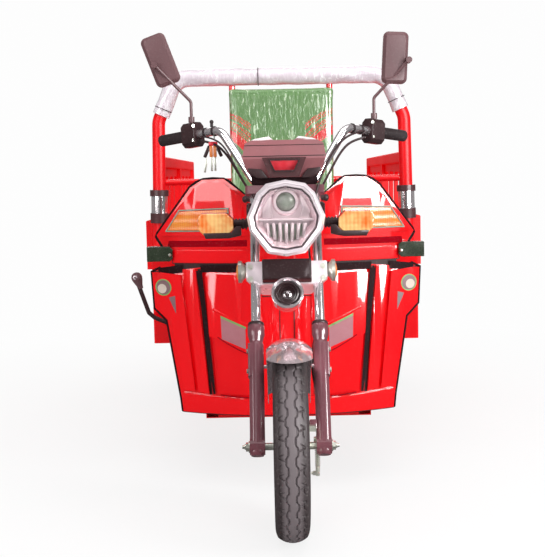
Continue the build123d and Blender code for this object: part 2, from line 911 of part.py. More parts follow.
door_step_shares = (
    (0.18, 0.93),
    (0.55, 0.945),
    (0.59, 0.92),
    (0.575, 0.53),
    (0.44, 0.485),
    (0.3, 0.415),
    (0.18, 0.38),
)
rib_rise = 8
rib_shares = ((0.665, 0.975), (0.745, 0.97), (0.668, 0.15), (0.588, 0.145))
wing_rise = 12
wing_shares = (
    (0.78, 0.935),
    (0.94, 0.95),
    (0.975, 0.905),
    (0.96, 0.715),
    (0.865, 0.635),
    (0.775, 0.155),
    (0.69, 0.155),
)
slot_shares = ((0.64, 0.975), (0.572, 0.13))
slot_width = 9
stem_opening_half_width = 48
stem_opening_high = 810


def shield_sheet(set_back, thickness):
    """An upright sheet that follows the shield's arc in plan, set back from its front face."""
    depth = shield_side_station - shield_front_station
    radius = (shield_side_x**2 + depth**2) / (2 * depth)
    reach = shield_reach_share * shield_side_x
    sag = radius - (radius**2 - reach**2) ** 0.5
    front = at(shield_front_station) + set_back
    faces = []
    for step in (0, thickness):
        side = front + sag + step
        faces.append(ThreePointArc((-reach, side), (0, front + step), (reach, side)))
    ends = [Line(faces[0] @ 0, faces[1] @ 0), Line(faces[0] @ 1, faces[1] @ 1)]
    return extrude(make_face([faces[0], faces[1]] + ends), amount=2 * upper_shield_high)


def shield_corners(shares, low, high):
    """Front view corners from shares of the shield's half width and of a height."""
    return [(x * shield_side_x, low + z * (high - low)) for x, z in shares]


def through(face):
    """A front view face carried through the whole depth of the shield."""
    return extrude(Plane.XZ.offset(-at(0)) * face, amount=-2 * shield_side_station)


def pressed(sheet, corners, rise):
    """A sheet of the shield with one hollow panel pressed forward out of it."""
    panel = outline(corners)
    inside = offset(panel, -shield_wall, kind=Kind.INTERSECTION)
    skin = shield_sheet(-rise, shield_wall) & through(panel)
    edge = shield_sheet(-rise, rise + shield_wall) & (through(panel) - through(inside))
    return sheet - through(inside) + skin + edge


def pressed_shield(corners, panels, low, high):
    """The right half of a shield: its sheet with its panels pressed in turn, from their shares and rises."""
    half = shield_sheet(0, shield_wall) & through(outline(corners))
    for shares, rise in panels:
        half = pressed(half, shield_corners(shares, low, high), rise)
    keep = box((0, 2 * shield_side_x), (at(0), at(2 * shield_side_station)), (0, 2 * upper_shield_high))
    return half & keep


def upper_shield():
    """The upper leg shield: its crests, its band and the opening that the main tube passes through."""
    corners = shield_corners(upper_shield_shares, band_low, upper_shield_high)
    panels = ((crest_shares, crest_rise), (band_shares, band_rise))
    half = pressed_shield(corners, panels, band_low, upper_shield_high)
    opening = box(
        (0, stem_opening_half_width),
        (at(0), at(shield_side_station)),
        (band_high, stem_opening_high),
    )
    return both_sides(half - opening)


def lower_shield():
    """The lower leg shield: skirt, stepped centre doors, ribs and wings, and its two slanting slots."""
    corners = shield_corners(lower_shield_shares, shield_low, lower_shield_high)
    panels = (
        (door_shares, door_rise),
        (door_step_shares, door_step_rise),
        (rib_shares, rib_rise),
        (wing_shares, wing_rise),
        (skirt_shares, skirt_rise),
    )
    half = pressed_shield(corners, panels, shield_low, lower_shield_high)
    top, bottom = shield_corners(slot_shares, shield_low, lower_shield_high)
    slot = [
        (top[0] - slot_width / 2, top[1]),
        (top[0] + slot_width / 2, top[1]),
        (bottom[0] + slot_width / 2, bottom[1]),
        (bottom[0] - slot_width / 2, bottom[1]),
    ]
    return both_sides(half - through(outline(slot)))


def shield_liner():
    """The black liner behind both shields: it closes the slots and stands out all round as an edge trim."""
    upper = shield_corners(upper_shield_shares, band_low, upper_shield_high)
    lower = shield_corners(lower_shield_shares, shield_low, lower_shield_high)
    faces = [offset(outline(both_ways(corners)), edge_trim) for corners in (upper, lower)]
    joint_half = shield_side_x * band_shares[-1][0]
    joint = box(
        (-joint_half, joint_half),
        (at(0), at(2 * shield_side_station)),
        (lower_shield_high - band_high + band_low, band_high),
    )
    whole = through(faces[0]) + through(faces[1]) + joint
    liner = shield_sheet(shield_wall + fit_gap, liner_wall) & whole
    opening = box(
        around(0, 2 * stem_opening_half_width),
        (at(0), at(shield_side_station)),
        (band_low, stem_opening_high),
    )
    return liner - opening


# Amber lamps let into the upper shield, and the dark blocks at its sides
shield_lamp_shares = ((0.875, 0.392), (0.772, 0.62), (0.415, 0.637), (0.412, 0.396))
shield_lamp_depth = 5
marker_station = 505
marker_inner_x = 334
marker_outer_x = 410
marker_low = 682
marker_high = 726
marker_depth = 40
marker_cut = 8


def shield_lamps():
    """The two long amber lamps on the crests of the upper shield."""
    sheet = shield_sheet(-crest_rise - shield_lamp_depth - fit_gap, shield_lamp_depth)
    corners = shield_corners(shield_lamp_shares, band_low, upper_shield_high)
    return both_sides(sheet & through(outline(corners)))


def side_markers():
    """The dark blocks at the sides of the shield."""
    corners = [
        (marker_inner_x, marker_low + marker_cut),
        (marker_inner_x, marker_high - marker_cut),
        (marker_inner_x + marker_cut, marker_high),
        (marker_outer_x, marker_high),
        (marker_outer_x, marker_low),
        (marker_inner_x + marker_cut, marker_low),
    ]
    back = at(marker_station)
    block = front_prism(corners, back - marker_depth, back)
    keep_out = shield_sheet(-fit_gap, 2 * marker_depth)
    return both_sides(block - keep_out)


# Floor tray
tray_front_station = 550
tray_top_half_width = 340
tray_bottom_half_width = 322
tray_top = 300
tray_bottom = 240
tray_rib_count = 9
tray_rib_width = 8
tray_rib_height = 2


def floor_tray():
    """The floor tray: a flat floor with low slanting sides, and a riser under the seat box."""
    front = at(tray_front_station)
    back = at(seat_box_front_station)
    corners = [
        (tray_top_half_width, tray_top),
        (tray_bottom_half_width, tray_bottom + fit_gap),
        (-tray_bottom_half_width, tray_bottom + fit_gap),
        (-tray_top_half_width, tray_top),
    ]
    wall = sheet_wall
    inner = [
        (tray_top_half_width - wall, tray_top + wall),
        (tray_bottom_half_width - wall, tray_bottom + fit_gap + wall),
        (-tray_bottom_half_width + wall, tray_bottom + fit_gap + wall),
        (-tray_top_half_width + wall, tray_top + wall),
    ]
    tray = front_prism(corners, front, back) - front_prism(inner, front - wall, back - wall)
    riser = box(
        around(0, 2 * tray_bottom_half_width),
        (back, back + wall),
        (tray_bottom + fit_gap, seat_box_bottom - fit_gap),
    )
    rib_low = tray_bottom + fit_gap + wall
    rib_step = 2 * tray_bottom_half_width / (tray_rib_count + 1)
    for number in range(tray_rib_count):
        x = (number - (tray_rib_count - 1) / 2) * rib_step
        tray += box(around(x, tray_rib_width), (front, back), (rib_low, rib_low + tray_rib_height))
    return tray + riser


# Seat box
seat_box_edge = 8
seat_box_bead = 12
seat_box_bead_shares = (0.4, 0.75)


def seat_box():
    """The pressed steel box under the seat, open at the top, with the pins of the seat's hinge."""
    front, back = at(seat_box_front_station), at(seat_box_rear_station)
    outer = box(around(0, 2 * seat_box_half_width), (front, back), (seat_box_bottom, seat_box_top))
    wall = sheet_wall
    inner = box(
        around(0, 2 * (seat_box_half_width - wall)),
        (front + wall, back - wall),
        (seat_box_bottom + wall, seat_box_top + wall),
    )
    tank = fillet(outer.edges().filter_by(Axis.Z), seat_box_edge) - inner
    for share in seat_box_bead_shares:
        z = seat_box_bottom + share * (seat_box_top - seat_box_bottom)
        reach = seat_box_half_width - 2 * seat_box_edge
        bead = rod((-reach, front, z), (reach, front, z), seat_box_bead)
        tank += bead - inner
    hinge_y, hinge_z = seat_hinge()
    radius = seat_hinge_diameter / 2
    lug_end = seat_hinge_x - seat_barrel_length / 2 - fit_gap
    lug_start = lug_end - seat_lug_length
    lug = box((lug_start, lug_end), (hinge_y, front), (hinge_z - radius, hinge_z + radius))
    lug += rod((lug_start, hinge_y, hinge_z), (lug_end, hinge_y, hinge_z), seat_hinge_diameter)
    pin_end = seat_hinge_x + seat_barrel_length / 2
    pin = rod((lug_start, hinge_y, hinge_z), (pin_end, hinge_y, hinge_z), seat_hinge_pin_diameter)
    return tank + both_sides(lug + pin)


# Hinge of the seat, on the front of the seat box
seat_hinge_diameter = 14
seat_hinge_pin_diameter = 8
seat_hinge_x = 130
seat_barrel_length = 60
seat_lug_length = 16


def seat_hinge():
    """The Y and the height of the seat's hinge pins."""
    radius = seat_hinge_diameter / 2
    return at(seat_box_front_station) - radius - fit_gap, seat_box_top - radius


# Battery pack
battery_half_width = 200
battery_height = 170
battery_margin = 30


def battery_pack():
    """The battery pack, one plain block on the floor of the seat box."""
    front = at(seat_box_front_station) + battery_margin
    back = at(seat_box_rear_station) - battery_margin
    low = seat_box_bottom + sheet_wall + fit_gap
    return box(around(0, 2 * battery_half_width), (front, back), (low, low + battery_height))


# Seat
seat_half_width = 250
seat_front_station = 786
seat_back_station = 1090
seat_pan_thickness = 12
seat_thickness = 82
seat_edge = 22


def seat_cushion():
    """The seat cushion on its pan, which lifts about its front edge."""
    low = seat_box_top + fit_gap
    pan = box(
        around(0, 2 * seat_box_half_width - 2 * seat_edge),
        (at(seat_front_station), at(seat_box_rear_station)),
        (low, low + seat_pan_thickness),
    )
    foam = box(
        around(0, 2 * seat_half_width),
        (at(seat_front_station), at(seat_back_station)),
        (low + seat_pan_thickness, low + seat_pan_thickness + seat_thickness),
    )
    foam = fillet(foam.edges().filter_by(Axis.Z), seat_edge)
    foam = chamfer(foam.faces().sort_by(Axis.Z)[-1].edges(), seat_edge / 2)
    hinge_y, hinge_z = seat_hinge()
    start, end = around(seat_hinge_x, seat_barrel_length)
    barrel = rod((start, hinge_y, hinge_z), (end, hinge_y, hinge_z), seat_hinge_diameter)
    barrel += box((start, end), (at(seat_front_station), hinge_y), (hinge_z, low))
    barrel -= rod((start, hinge_y, hinge_z), (end, hinge_y, hinge_z), seat_hinge_pin_diameter + 2 * fit_gap)
    return pan + both_sides(barrel), foam


# Seat arch
arch_station = 1150
arch_diameter = 46
arch_wall = 3
arch_foot_lift = 0.8
arch_inset = 50
arch_foot_x = bed_width / 2 - arch_inset
arch_lean = 12
arch_knee_height = 575
arch_shoulder_inset = 66
arch_height = 725
arch_bend = 70
collar_height = 237
collar_length = 92
collar_diameter = 58
collar_band_height = 12
collar_band_diameter = 64
padding_diameter = 60
padding_low_height = 595

# Places on the arch
arch_knee_x = arch_foot_x - arch_lean
arch_knee_z = rear_rail_top + arch_knee_height
arch_shoulder_x = arch_knee_x - arch_shoulder_inset
arch_top_z = rear_rail_top + arch_height


def arch_route():
    """The arch's centre line, from one foot over the top to the other."""
    y = at(arch_station)
    half = [
        (arch_foot_x, y, rear_rail_top + arch_foot_lift),
        (arch_knee_x, y, arch_knee_z),
        (arch_shoulder_x, y, arch_top_z),
    ]
    return half + [(-x, y_, z) for x, y_, z in reversed(half)]


def seat_arch():
    """The red tube arch behind the seat."""
    return bent_tube(arch_route(), arch_bend, arch_diameter, arch_wall)


def arch_collars():
    """The bright collars on the arch's posts, with a band at each end."""
    foot = Vector(arch_foot_x, at(arch_station), rear_rail_top)
    run = Vector(arch_knee_x, at(arch_station), arch_knee_z) - foot
    along = run.normalized()
    start = foot + along * collar_height
    end = start + along * collar_length
    bore = arch_diameter + 2 * fit_gap
    collar = rod(tuple(start), tuple(end), collar_diameter, bore)
    for low in (start, end - along * collar_band_height):
        collar += rod(tuple(low), tuple(low + along * collar_band_height), collar_band_diameter, bore)
    return both_sides(collar)


def arch_padding():
    """The white foam sleeve over the top of the arch."""
    y = at(arch_station)
    path = FilletPolyline(*arch_route(), radius=arch_bend)
    section = Circle(padding_diameter / 2) - Circle(arch_diameter / 2 + fit_gap)
    sleeve = sweep(Plane(origin=path @ 0, z_dir=path % 0) * section, path=path)
    low = rear_rail_top + padding_low_height
    keep = box(around(0, 4 * arch_foot_x), around(y, 4 * padding_diameter), (low, 2 * arch_top_z))
    return sleeve & keep


# Backrest
backrest_half_width = 195
backrest_low = 245
backrest_height = 446
backrest_thickness = 40
backrest_edge = 12
backrest_tube = 22
backrest_bar_height = 357


def backrest_cushion():
    """The green back cushion, hung in front of its tube frame."""
    front = at(arch_station) - backrest_tube / 2 - fit_gap - backrest_thickness
    pad = box(
        around(0, 2 * backrest_half_width),
        (front, front + backrest_thickness),
        (rear_rail_top + backrest_low, rear_rail_top + backrest_low + backrest_height),
    )
    return fillet(pad.edges().filter_by(Axis.Y), backrest_edge)


def backrest_frame():
    """Two uprights below the arch and the cross bar between its posts."""
    y = at(arch_station)
    bar_z = rear_rail_top + backrest_bar_height
    lean = arch_lean * backrest_bar_height / arch_knee_height
    post_x = arch_foot_x - lean - arch_diameter / 2 - fit_gap
    cross = rod((-post_x, y, bar_z), (post_x, y, bar_z), backrest_tube)
    x = backrest_half_width - backrest_tube
    top = arch_top_z - padding_diameter / 2 - fit_gap
    upright = rod((x, y, bar_z), (x, y, top), backrest_tube)
    return cross + both_sides(upright)


# Chassis: floor frame in front, raised ladder behind
seat_ledge_station = 1000
upright_station = 1105
cross_shares = (0, 0.2, 0.44, 0.77)
floor_cross_stations = (520, 760, 1000)
hinge_set_back = 130
hinge_rise = 21
hinge_pin_diameter = 16
hinge_lug_width = 12
hinge_lug_radius = 15
floor_frame_front_station = 500
floor_frame_height = 40
outrigger_height = 40

# Places on the chassis
hinge_station = bed_front_station + bed_length - hinge_set_back
hinge_z = rear_rail_top + hinge_rise
cross_stations = [arch_station + share * (hinge_station - arch_station) for share in cross_shares]


def rail(station_low, station_high, top, height):
    """One hollow rail of the chassis, on the right."""
    outer = box(around(rail_centre, rail_width), (at(station_low), at(station_high)), (top - height, top))
    margin = running_gap
    inner = box(
        around(rail_centre, rail_width - 2 * rail_wall),
        (at(station_low) - margin, at(station_high) + margin),
        (top - height + rail_wall, top - rail_wall),
    )
    return outer - inner


def cross_member(station, top, height):
    """A channel across the chassis, open below, between the two rails."""
    half = rail_centre - rail_width / 2
    outer = box(around(0, 2 * half), around(at(station), rail_width), (top - height, top))
    inner = box(
        around(0, 2 * half),
        around(at(station), rail_width - 2 * rail_wall),
        (top - height - rail_wall, top - rail_wall),
    )
    return outer - inner


def chassis():
    """The welded chassis: floor frame, uprights, raised ladder, seat arch outriggers and hinge lugs."""
    upright_low = upright_station - rail_width / 2
    hanger_end = wheelbase + spring_half_length + hanger_length / 2
    rear_end = max(hinge_station + hinge_lug_radius, hanger_end)
    shape = both_sides(rail(upright_low, rear_end, rear_rail_top, rail_height))
    floor_rail_end = upright_low + rail_width
    shape += both_sides(rail(floor_frame_front_station, floor_rail_end, floor_frame_top, floor_frame_height))
    post = box(
        around(rail_centre, rail_width),
        around(at(upright_station), rail_width),
        (floor_frame_top - rail_wall, rear_rail_top - rail_height + rail_wall),
    )
    shape += both_sides(post)
    for station in cross_stations:
        shape += cross_member(station, rear_rail_top, rail_height)
    for station in floor_cross_stations:
        shape += cross_member(station, floor_frame_top, floor_frame_height)
    outrigger = box(
        (rail_centre + rail_width / 2, arch_foot_x + arch_diameter / 2),
        around(at(arch_station), rail_width),
        (rear_rail_top - outrigger_height, rear_rail_top),
    )
    shape += both_sides(outrigger)
    ledge = box(
        around(rail_centre, rail_width),
        (at(seat_ledge_station), at(upright_low) + rail_wall),
        (seat_box_bottom - fit_gap - rail_width, seat_box_bottom - fit_gap),
    )
    shape += both_sides(ledge)
    for end in (-spring_half_length, spring_half_length):
        shape += both_sides(spring_hanger(at(wheelbase) + end))
    lug = side_prism(
        hinge_ear_corners(rear_rail_top - rail_wall),
        rail_centre - hinge_lug_width / 2,
        rail_centre + hinge_lug_width / 2,
    )
    pin_y = at(hinge_station)
    start, end = around(rail_centre, 4 * hinge_lug_width + 2 * running_gap)
    pin = rod((start, pin_y, hinge_z), (end, pin_y, hinge_z), hinge_pin_diameter)
    return shape + both_sides(lug + pin)


def spring_hanger(y):
    """The forked hanger that holds a spring eye on its pin, below the right rail."""
    eye_z = rear_axle_z + spring_eye_z()
    inner = spring_leaf_width / 2 + fit_gap
    outer = inner + hanger_plate
    block = box(
        (rail_centre - outer, rail_centre + outer),
        around(y, hanger_length),
        (eye_z - spring_eye_diameter / 2, rear_rail_top - rail_height),
    )
    block -= box(
        (rail_centre - inner, rail_centre + inner),
        around(y, 2 * hanger_length),
        (eye_z - spring_eye_diameter, eye_z + spring_eye_diameter),
    )
    return block + rod((rail_centre - outer, y, eye_z), (rail_centre + outer, y, eye_z), spring_pin_diameter)


# Head tube and main tube
main_tube_diameter = 50
main_tube_head_station = 322
main_tube_head_z = 792
main_tube_knee_station = 492
main_tube_knee_z = 726
main_tube_bend = 60
bracket_half_width = 60
bracket_height = 20
# Height of each bracket, and the station of the main tube behind it
bracket_places = ((600, 500), (320, 512))


def front_frame():
    """The head tube round the steering stem, and the main tube that runs down behind the shield."""
    low = lower_yoke_high + head_tube_gap
    high = upper_yoke_low - head_tube_gap
    bore = stem_diameter + 2 * fit_gap
    head = fork * Pos(0, yoke_offset, 0) * rod((0, 0, low), (0, 0, high), head_tube_diameter, bore)
    points = [
        (0, at(main_tube_head_station), main_tube_head_z),
        (0, at(main_tube_knee_station), main_tube_knee_z),
        (0, at(floor_cross_stations[0]), floor_frame_top + fit_gap),
    ]
    tube = bent_tube(points, main_tube_bend, main_tube_diameter)
    cut = fork * Pos(0, yoke_offset, 0) * rod((0, 0, low - bore), (0, 0, high + bore), bore)
    foot = box(
        around(0, 2 * main_tube_diameter),
        around(at(floor_cross_stations[0]), main_tube_diameter),
        (0, floor_frame_top + fit_gap),
    )
    frame = head + tube - cut - foot
    liner_back = shield_wall + liner_wall + 2 * fit_gap
    sag = shield_side_station - shield_front_station
    bracket_front = shield_front_station + liner_back + sag * (bracket_half_width / shield_side_x) ** 2
    for z, tube_station in bracket_places:
        bracket_y = (at(bracket_front), at(tube_station))
        frame += box((-bracket_half_width, bracket_half_width), bracket_y, around(z, bracket_height))
    return frame


# Rear axle
axle_tube_diameter = 60
rear_brake_plate_diameter = 150
rear_brake_plate_thickness = 10
stub_nut_width = 38
stub_nut_thickness = 10
axle_casing_diameter = 190
axle_casing_width = 120
axle_casing_taper = 50
motor_diameter = 170
motor_length = 210
motor_fin_count = 7
motor_fin_depth = 6
motor_fin_gap = 8
motor_cap_length = 30
motor_cap_share = 0.8
spring_half_length = 440
spring_leaf_width = 44
spring_leaf_thickness = 7
spring_leaf_count = 5
spring_arch = 70
spring_eye_diameter = 26
spring_pin_diameter = 12
clamp_plate_thickness = 10
clamp_plate_length = 110
clamp_bolt_diameter = 12
clamp_bolt_spacing = 74
clamp_bolt_reach = 12
hanger_plate = 8
hanger_length = 40


def rear_axle():
    """The rear axle: casing in the middle, tubes to the wheels and the stubs that the wheels turn on."""
    half = rear_wheel_centre - hub_length / 2 - running_gap
    tube = rod((-half, 0, 0), (half, 0, 0), axle_tube_diameter)
    plate = rod((half - rear_brake_plate_thickness, 0, 0), (half, 0, 0), rear_brake_plate_diameter)
    nut_seat = rear_wheel_centre + hub_length / 2 + fit_gap
    stub_end = nut_seat + stub_nut_thickness
    nut = hex_nut(nut_seat, stub_end, stub_nut_width, stub_diameter / 2)
    flat, end = axle_casing_width / 2, axle_casing_width / 2 + axle_casing_taper
    radius, neck = axle_casing_diameter / 2, axle_tube_diameter / 2
    profile = [(-end, 0), (-end, neck), (-flat, radius), (flat, radius), (end, neck), (end, 0)]
    casing = revolve(outline(profile), axis=Axis.X)
    stub = rod((-stub_end, 0, 0), (stub_end, 0, 0), stub_diameter)
    return wheel_place(0, wheelbase, rear_axle_z) * (tube + casing + stub + both_sides(plate + nut))


def drive_motor():
    """The drive motor on the front of the axle casing: a finned body with a smaller end cap."""
    start = -axle_casing_diameter / 2 - fit_gap
    end = start - motor_length
    body = rod((0, end + motor_cap_length, 0), (0, start, 0), motor_diameter)
    body += rod((0, end, 0), (0, end + motor_cap_length, 0), motor_cap_share * motor_diameter)
    step = (motor_length - motor_cap_length) / (motor_fin_count + 1)
    core = motor_diameter - 2 * motor_fin_depth
    for number in range(motor_fin_count):
        y = start - (number + 1) * step
        groove = rod((0, y - motor_fin_gap / 2, 0), (0, y + motor_fin_gap / 2, 0), 2 * motor_diameter, core)
        body -= groove
    return wheel_place(0, wheelbase, rear_axle_z) * body


def spring_eye_z():
    """The height of the spring eyes above the rear axle."""
    main_leaf_low = axle_tube_diameter / 2 + fit_gap + (spring_leaf_count - 1) * spring_leaf_thickness
    return main_leaf_low + spring_arch + spring_leaf_thickness / 2


def leaf_springs():
    """The two packs of leaf springs between the axle tube and the rails."""
    seat = axle_tube_diameter / 2 + fit_gap
    pack = None
    for number in range(spring_leaf_count):
        share = 1 - number / (spring_leaf_count + 1)
        low = seat + (spring_leaf_count - 1 - number) * spring_leaf_thickness
        rise = spring_arch * share * share
        half = spring_half_length * share
        faces = []
        for step in (0, spring_leaf_thickness):
            tip = low + rise + step
            faces.append(ThreePointArc((-half, tip), (0, low + step), (half, tip)))
        ends = [Line(faces[0] @ 0, faces[1] @ 0), Line(faces[0] @ 1, faces[1] @ 1)]
        leaf = extrude(make_face(faces + ends), amount=spring_leaf_width)
        pack = leaf if pack is None else pack + leaf
    low = rail_centre - spring_leaf_width / 2
    high = rail_centre + spring_leaf_width / 2
    pack = Plane(origin=(low, 0, 0), x_dir=(0, 1, 0), z_dir=(1, 0, 0)).location * pack
    for end in (-spring_half_length, spring_half_length):
        pack += rod((low, end, spring_eye_z()), (high, end, spring_eye_z()), spring_eye_diameter)
        margin = running_gap
        bore = spring_pin_diameter + 2 * fit_gap
        pack -= rod((low - margin, end, spring_eye_z()), (high + margin, end, spring_eye_z()), bore)
    return both_sides(wheel_place(0, wheelbase, rear_axle_z) * (pack + spring_clamp()))


def spring_clamp():
    """The clamp round the axle tube: a plate above the pack, one below the tube and four bolts."""
    seat = axle_tube_diameter / 2 + fit_gap
    pack_top = seat + spring_leaf_count * spring_leaf_thickness
    bolt_x = spring_leaf_width / 2 + clamp_bolt_diameter / 2 + fit_gap
    width = 2 * bolt_x + 2 * clamp_bolt_diameter
    lows = (pack_top - spring_leaf_thickness / 2, -seat - clamp_plate_thickness)
    clamp = None
    for low in lows:
        high = low + clamp_plate_thickness
        plate = box(around(rail_centre, width), around(0, clamp_plate_length), (low, high))
        clamp = plate if clamp is None else clamp + plate
    bolt_low = lows[1] - clamp_bolt_reach
    bolt_high = pack_top + clamp_plate_thickness + clamp_bolt_reach
    for place in GridLocations(2 * bolt_x, clamp_bolt_spacing, 2, 2):
        x, y = rail_centre + place.position.X, place.position.Y
        clamp += rod((x, y, bolt_low), (x, y, bolt_high), clamp_bolt_diameter)
    return clamp


# Rear mudguards
rear_guard_gap = 16
rear_guard_wall = 2
rear_guard_margin = 10
rear_guard_lip = 12
rear_guard_angle = 25


def rear_mudguards():
    """The sheet mudguards over the rear wheels, on brackets from the rails."""
    inner = rear_tyre_diameter / 2 + rear_guard_gap
    half = rear_tyre_width / 2 + rear_guard_margin
    outer, lip = inner + rear_guard_wall, inner - rear_guard_lip
    right = [(half, outer), (half, lip), (half - rear_guard_wall, lip), (half - rear_guard_wall, inner)]
    section = outline(right + [(-x, z) for x, z in reversed(right)])
    guard = revolve(section, axis=Axis.X, revolution_arc=180 - 2 * rear_guard_angle)
    guard = Rot(rear_guard_angle, 0, 0) * guard
    guard = wheel_place(rear_wheel_centre, wheelbase, rear_axle_z) * guard
    bracket_top = rear_axle_z + inner + rear_guard_wall
    bracket = box(
        (rail_centre + rail_width / 2 + fit_gap, rear_wheel_centre - rear_tyre_width / 2),
        around(at(wheelbase), rail_width),
        (bracket_top - rear_guard_wall, bracket_top + rear_guard_wall),
    )
    return both_sides(guard + bracket)


# Cargo bed
bed_beam_width = 40
gate_bead_shares = (0.5,)
bed_beam_count = 5
bed_beam_margin = 70
bed_beam_back_margin = 200
bed_post_width = 40
bed_window_count = 8
bed_window_corner = 28
bed_window_margin = 30
bed_bead_shares = (0.35, 0.65)
fence_inset = 38
top_rail_height = 42
top_rail_edge = 6
cargo_hole_inset_x = 100
cargo_hole_inset_y = 135
cargo_hole_diameter = 11
cargo_hole_spacing_x = bed_width - 2 * cargo_hole_inset_x
cargo_hole_spacing_y = bed_length - 2 * cargo_hole_inset_y

# Tailgate hinges: places as shares of the half width
gate_ear_place_shares = (-0.76, 0, 0.76)
gate_ear_places = [share * bed_width / 2 for share in gate_ear_place_shares]
gate_ear_width = 30
gate_pin_diameter = 10
gate_pin_half_length = 45
gate_ear_gap = 3


def gate_axis():
    """Where the tailgate's hinge pins lie, as a Y and a height."""
    return at(tail_station) - tailgate_thickness / 2, bed_floor_bottom + tailgate_thickness / 2


def hinge_ear_corners(root_z):
    """The side view corners of a tipping hinge ear, from its root round the pin."""
    y = at(hinge_station)
    tip = hinge_z + hinge_lug_radius if root_z < hinge_z else hinge_z - hinge_lug_radius
    half = hinge_lug_radius
    root = [(y - half, root_z), (y + half, root_z)]
    return root + [(y + half, hinge_z), (y + half / 2, tip), (y - half / 2, tip), (y - half, hinge_z)]


def bed_floor():
    """The floor sheet with the cross beams under it and the ears of the tipping hinge."""
    front, back = at(bed_front_station), at(bed_front_station + bed_length)
    ledge_top = bed_floor_top - bed_floor_step
    floor = box(around(0, bed_width), (front, back), (bed_floor_bottom, ledge_top))
    floor += box(
        around(0, bed_width - 4 * bed_wall - 2 * fit_gap),
        (front + bed_wall + fit_gap, back),
        (ledge_top, bed_floor_top),
    )
    first, last = front + bed_beam_margin, back - bed_beam_back_margin
    for number in range(bed_beam_count):
        floor += box(
            around(0, bed_width - 2 * bed_wall),
            around(first + (last - first) * number / (bed_beam_count - 1), bed_beam_width),
            (bed_floor_bottom - bed_beam_height, bed_floor_bottom),
        )
    hole = Pos(0, (front + back) / 2, bed_floor_top) * Cylinder(cargo_hole_diameter / 2, 2 * bed_beam_height)
    for place in GridLocations(cargo_hole_spacing_x, cargo_hole_spacing_y, 2, 2):
        floor -= place * hole
    ear_offset = hinge_lug_width + running_gap
    for offset in (-ear_offset, ear_offset):
        ear = side_prism(
            hinge_ear_corners(bed_floor_bottom),
            rail_centre + offset - hinge_lug_width / 2,
            rail_centre + offset + hinge_lug_width / 2,
        )
        floor += both_sides(ear)
    reach = bed_width
    bore = hinge_pin_diameter + 2 * fit_gap
    floor -= rod((-reach, at(hinge_station), hinge_z), (reach, at(hinge_station), hinge_z), bore)
    gate_y, gate_z = gate_axis()
    for x in gate_ear_places:
        low, high = around(x, gate_ear_width)
        floor += box((low, high), (back - running_gap, gate_y), (bed_floor_bottom, ledge_top))
        floor += rod((low, gate_y, gate_z), (high, gate_y, gate_z), tailgate_thickness)
        low, high = around(x, 2 * gate_pin_half_length)
        floor += rod((low, gate_y, gate_z), (high, gate_y, gate_z), gate_pin_diameter)
    return floor


def fence():
    """The right side of the bed with its outside at x = 0: a beaded sheet, and a fence set in on a ledge."""
    low = bed_floor_top - bed_floor_step + fit_gap
    rail_low = bed_rail_top - top_rail_height
    post = bed_post_width
    places = (0, (bed_length - post) / 2, bed_length - post)
    sheet = box((-bed_wall, 0), (0, bed_length), (low, bed_sheet_top))
    for share in bed_bead_shares:
        z = bed_floor_top + share * bed_sheet_height
        sheet -= box((-bed_wall / 4, 0), (post, bed_length - post), around(z, bed_wall))
    for start in places:
        sheet += box((-2 * bed_wall, -bed_wall), (start, start + post), (low, bed_sheet_top))
    sheet += box((-fence_inset - bed_wall, 0), (0, bed_length), (bed_sheet_top - bed_wall, bed_sheet_top))
    roll_x = -bed_wall / 2
    roll = rod((roll_x, 0, bed_sheet_top), (roll_x, bed_length, bed_sheet_top), bed_wall + bed_floor_step)
    roll &= box((-2 * bed_wall, 0), (0, bed_length), (low, rail_low))
    wall = box((-bed_wall, 0), (0, bed_length), (bed_sheet_top - bed_wall, rail_low + top_rail_edge))
    pitch = (bed_length - post) / bed_window_count
    window_low = bed_sheet_top + bed_window_margin
    window_size = (pitch - post, rail_low - bed_window_margin - window_low)
    for number in range(bed_window_count):
        middle = (0, post / 2 + (number + 0.5) * pitch, window_low + window_size[1] / 2)
        window = extrude(RectangleRounded(*window_size, bed_window_corner), amount=2 * bed_wall, both=True)
        wall -= Plane(origin=middle, x_dir=(0, 1, 0), z_dir=(1, 0, 0)).location * window
    rail = box((-2 * bed_wall, 0), (0, bed_length), (rail_low, bed_rail_top))
    wall += fillet(rail.edges().filter_by(Axis.Y), top_rail_edge)
    for start in places:
        wall += box(
            (-2 * bed_wall, -bed_wall),
            (start, start + post),
            (bed_sheet_top - bed_wall, rail_low + top_rail_edge),
        )
    return sheet + roll + Pos(-fence_inset, 0, 0) * wall


def bed_sides():
    """The two sides of the bed."""
    side = Pos(bed_width / 2, at(bed_front_station), 0) * fence()
    return side, mirror(side, about=Plane.YZ)


def bed_front_panel():
    """The low front panel of the bed, a beaded sheet between the two sides and under their ledges."""
    length = bed_width - 4 * bed_wall - 2 * fit_gap
    low = bed_floor_top - bed_floor_step + fit_gap
    front = at(bed_front_station)
    top = bed_sheet_top - bed_wall - fit_gap
    panel = box(around(0, length), (front, front + bed_wall), (low, top))
    for share in bed_bead_shares:
        z = bed_floor_top + share * bed_sheet_height
        bead_sides = around(0, length - 2 * bed_post_width)
        panel -= box(bead_sides, (front, front + bed_wall / 4), around(z, bed_wall))
    return fillet(panel.edges().filter_by(Axis.X).group_by(Axis.Z)[-1], bed_wall / 4)


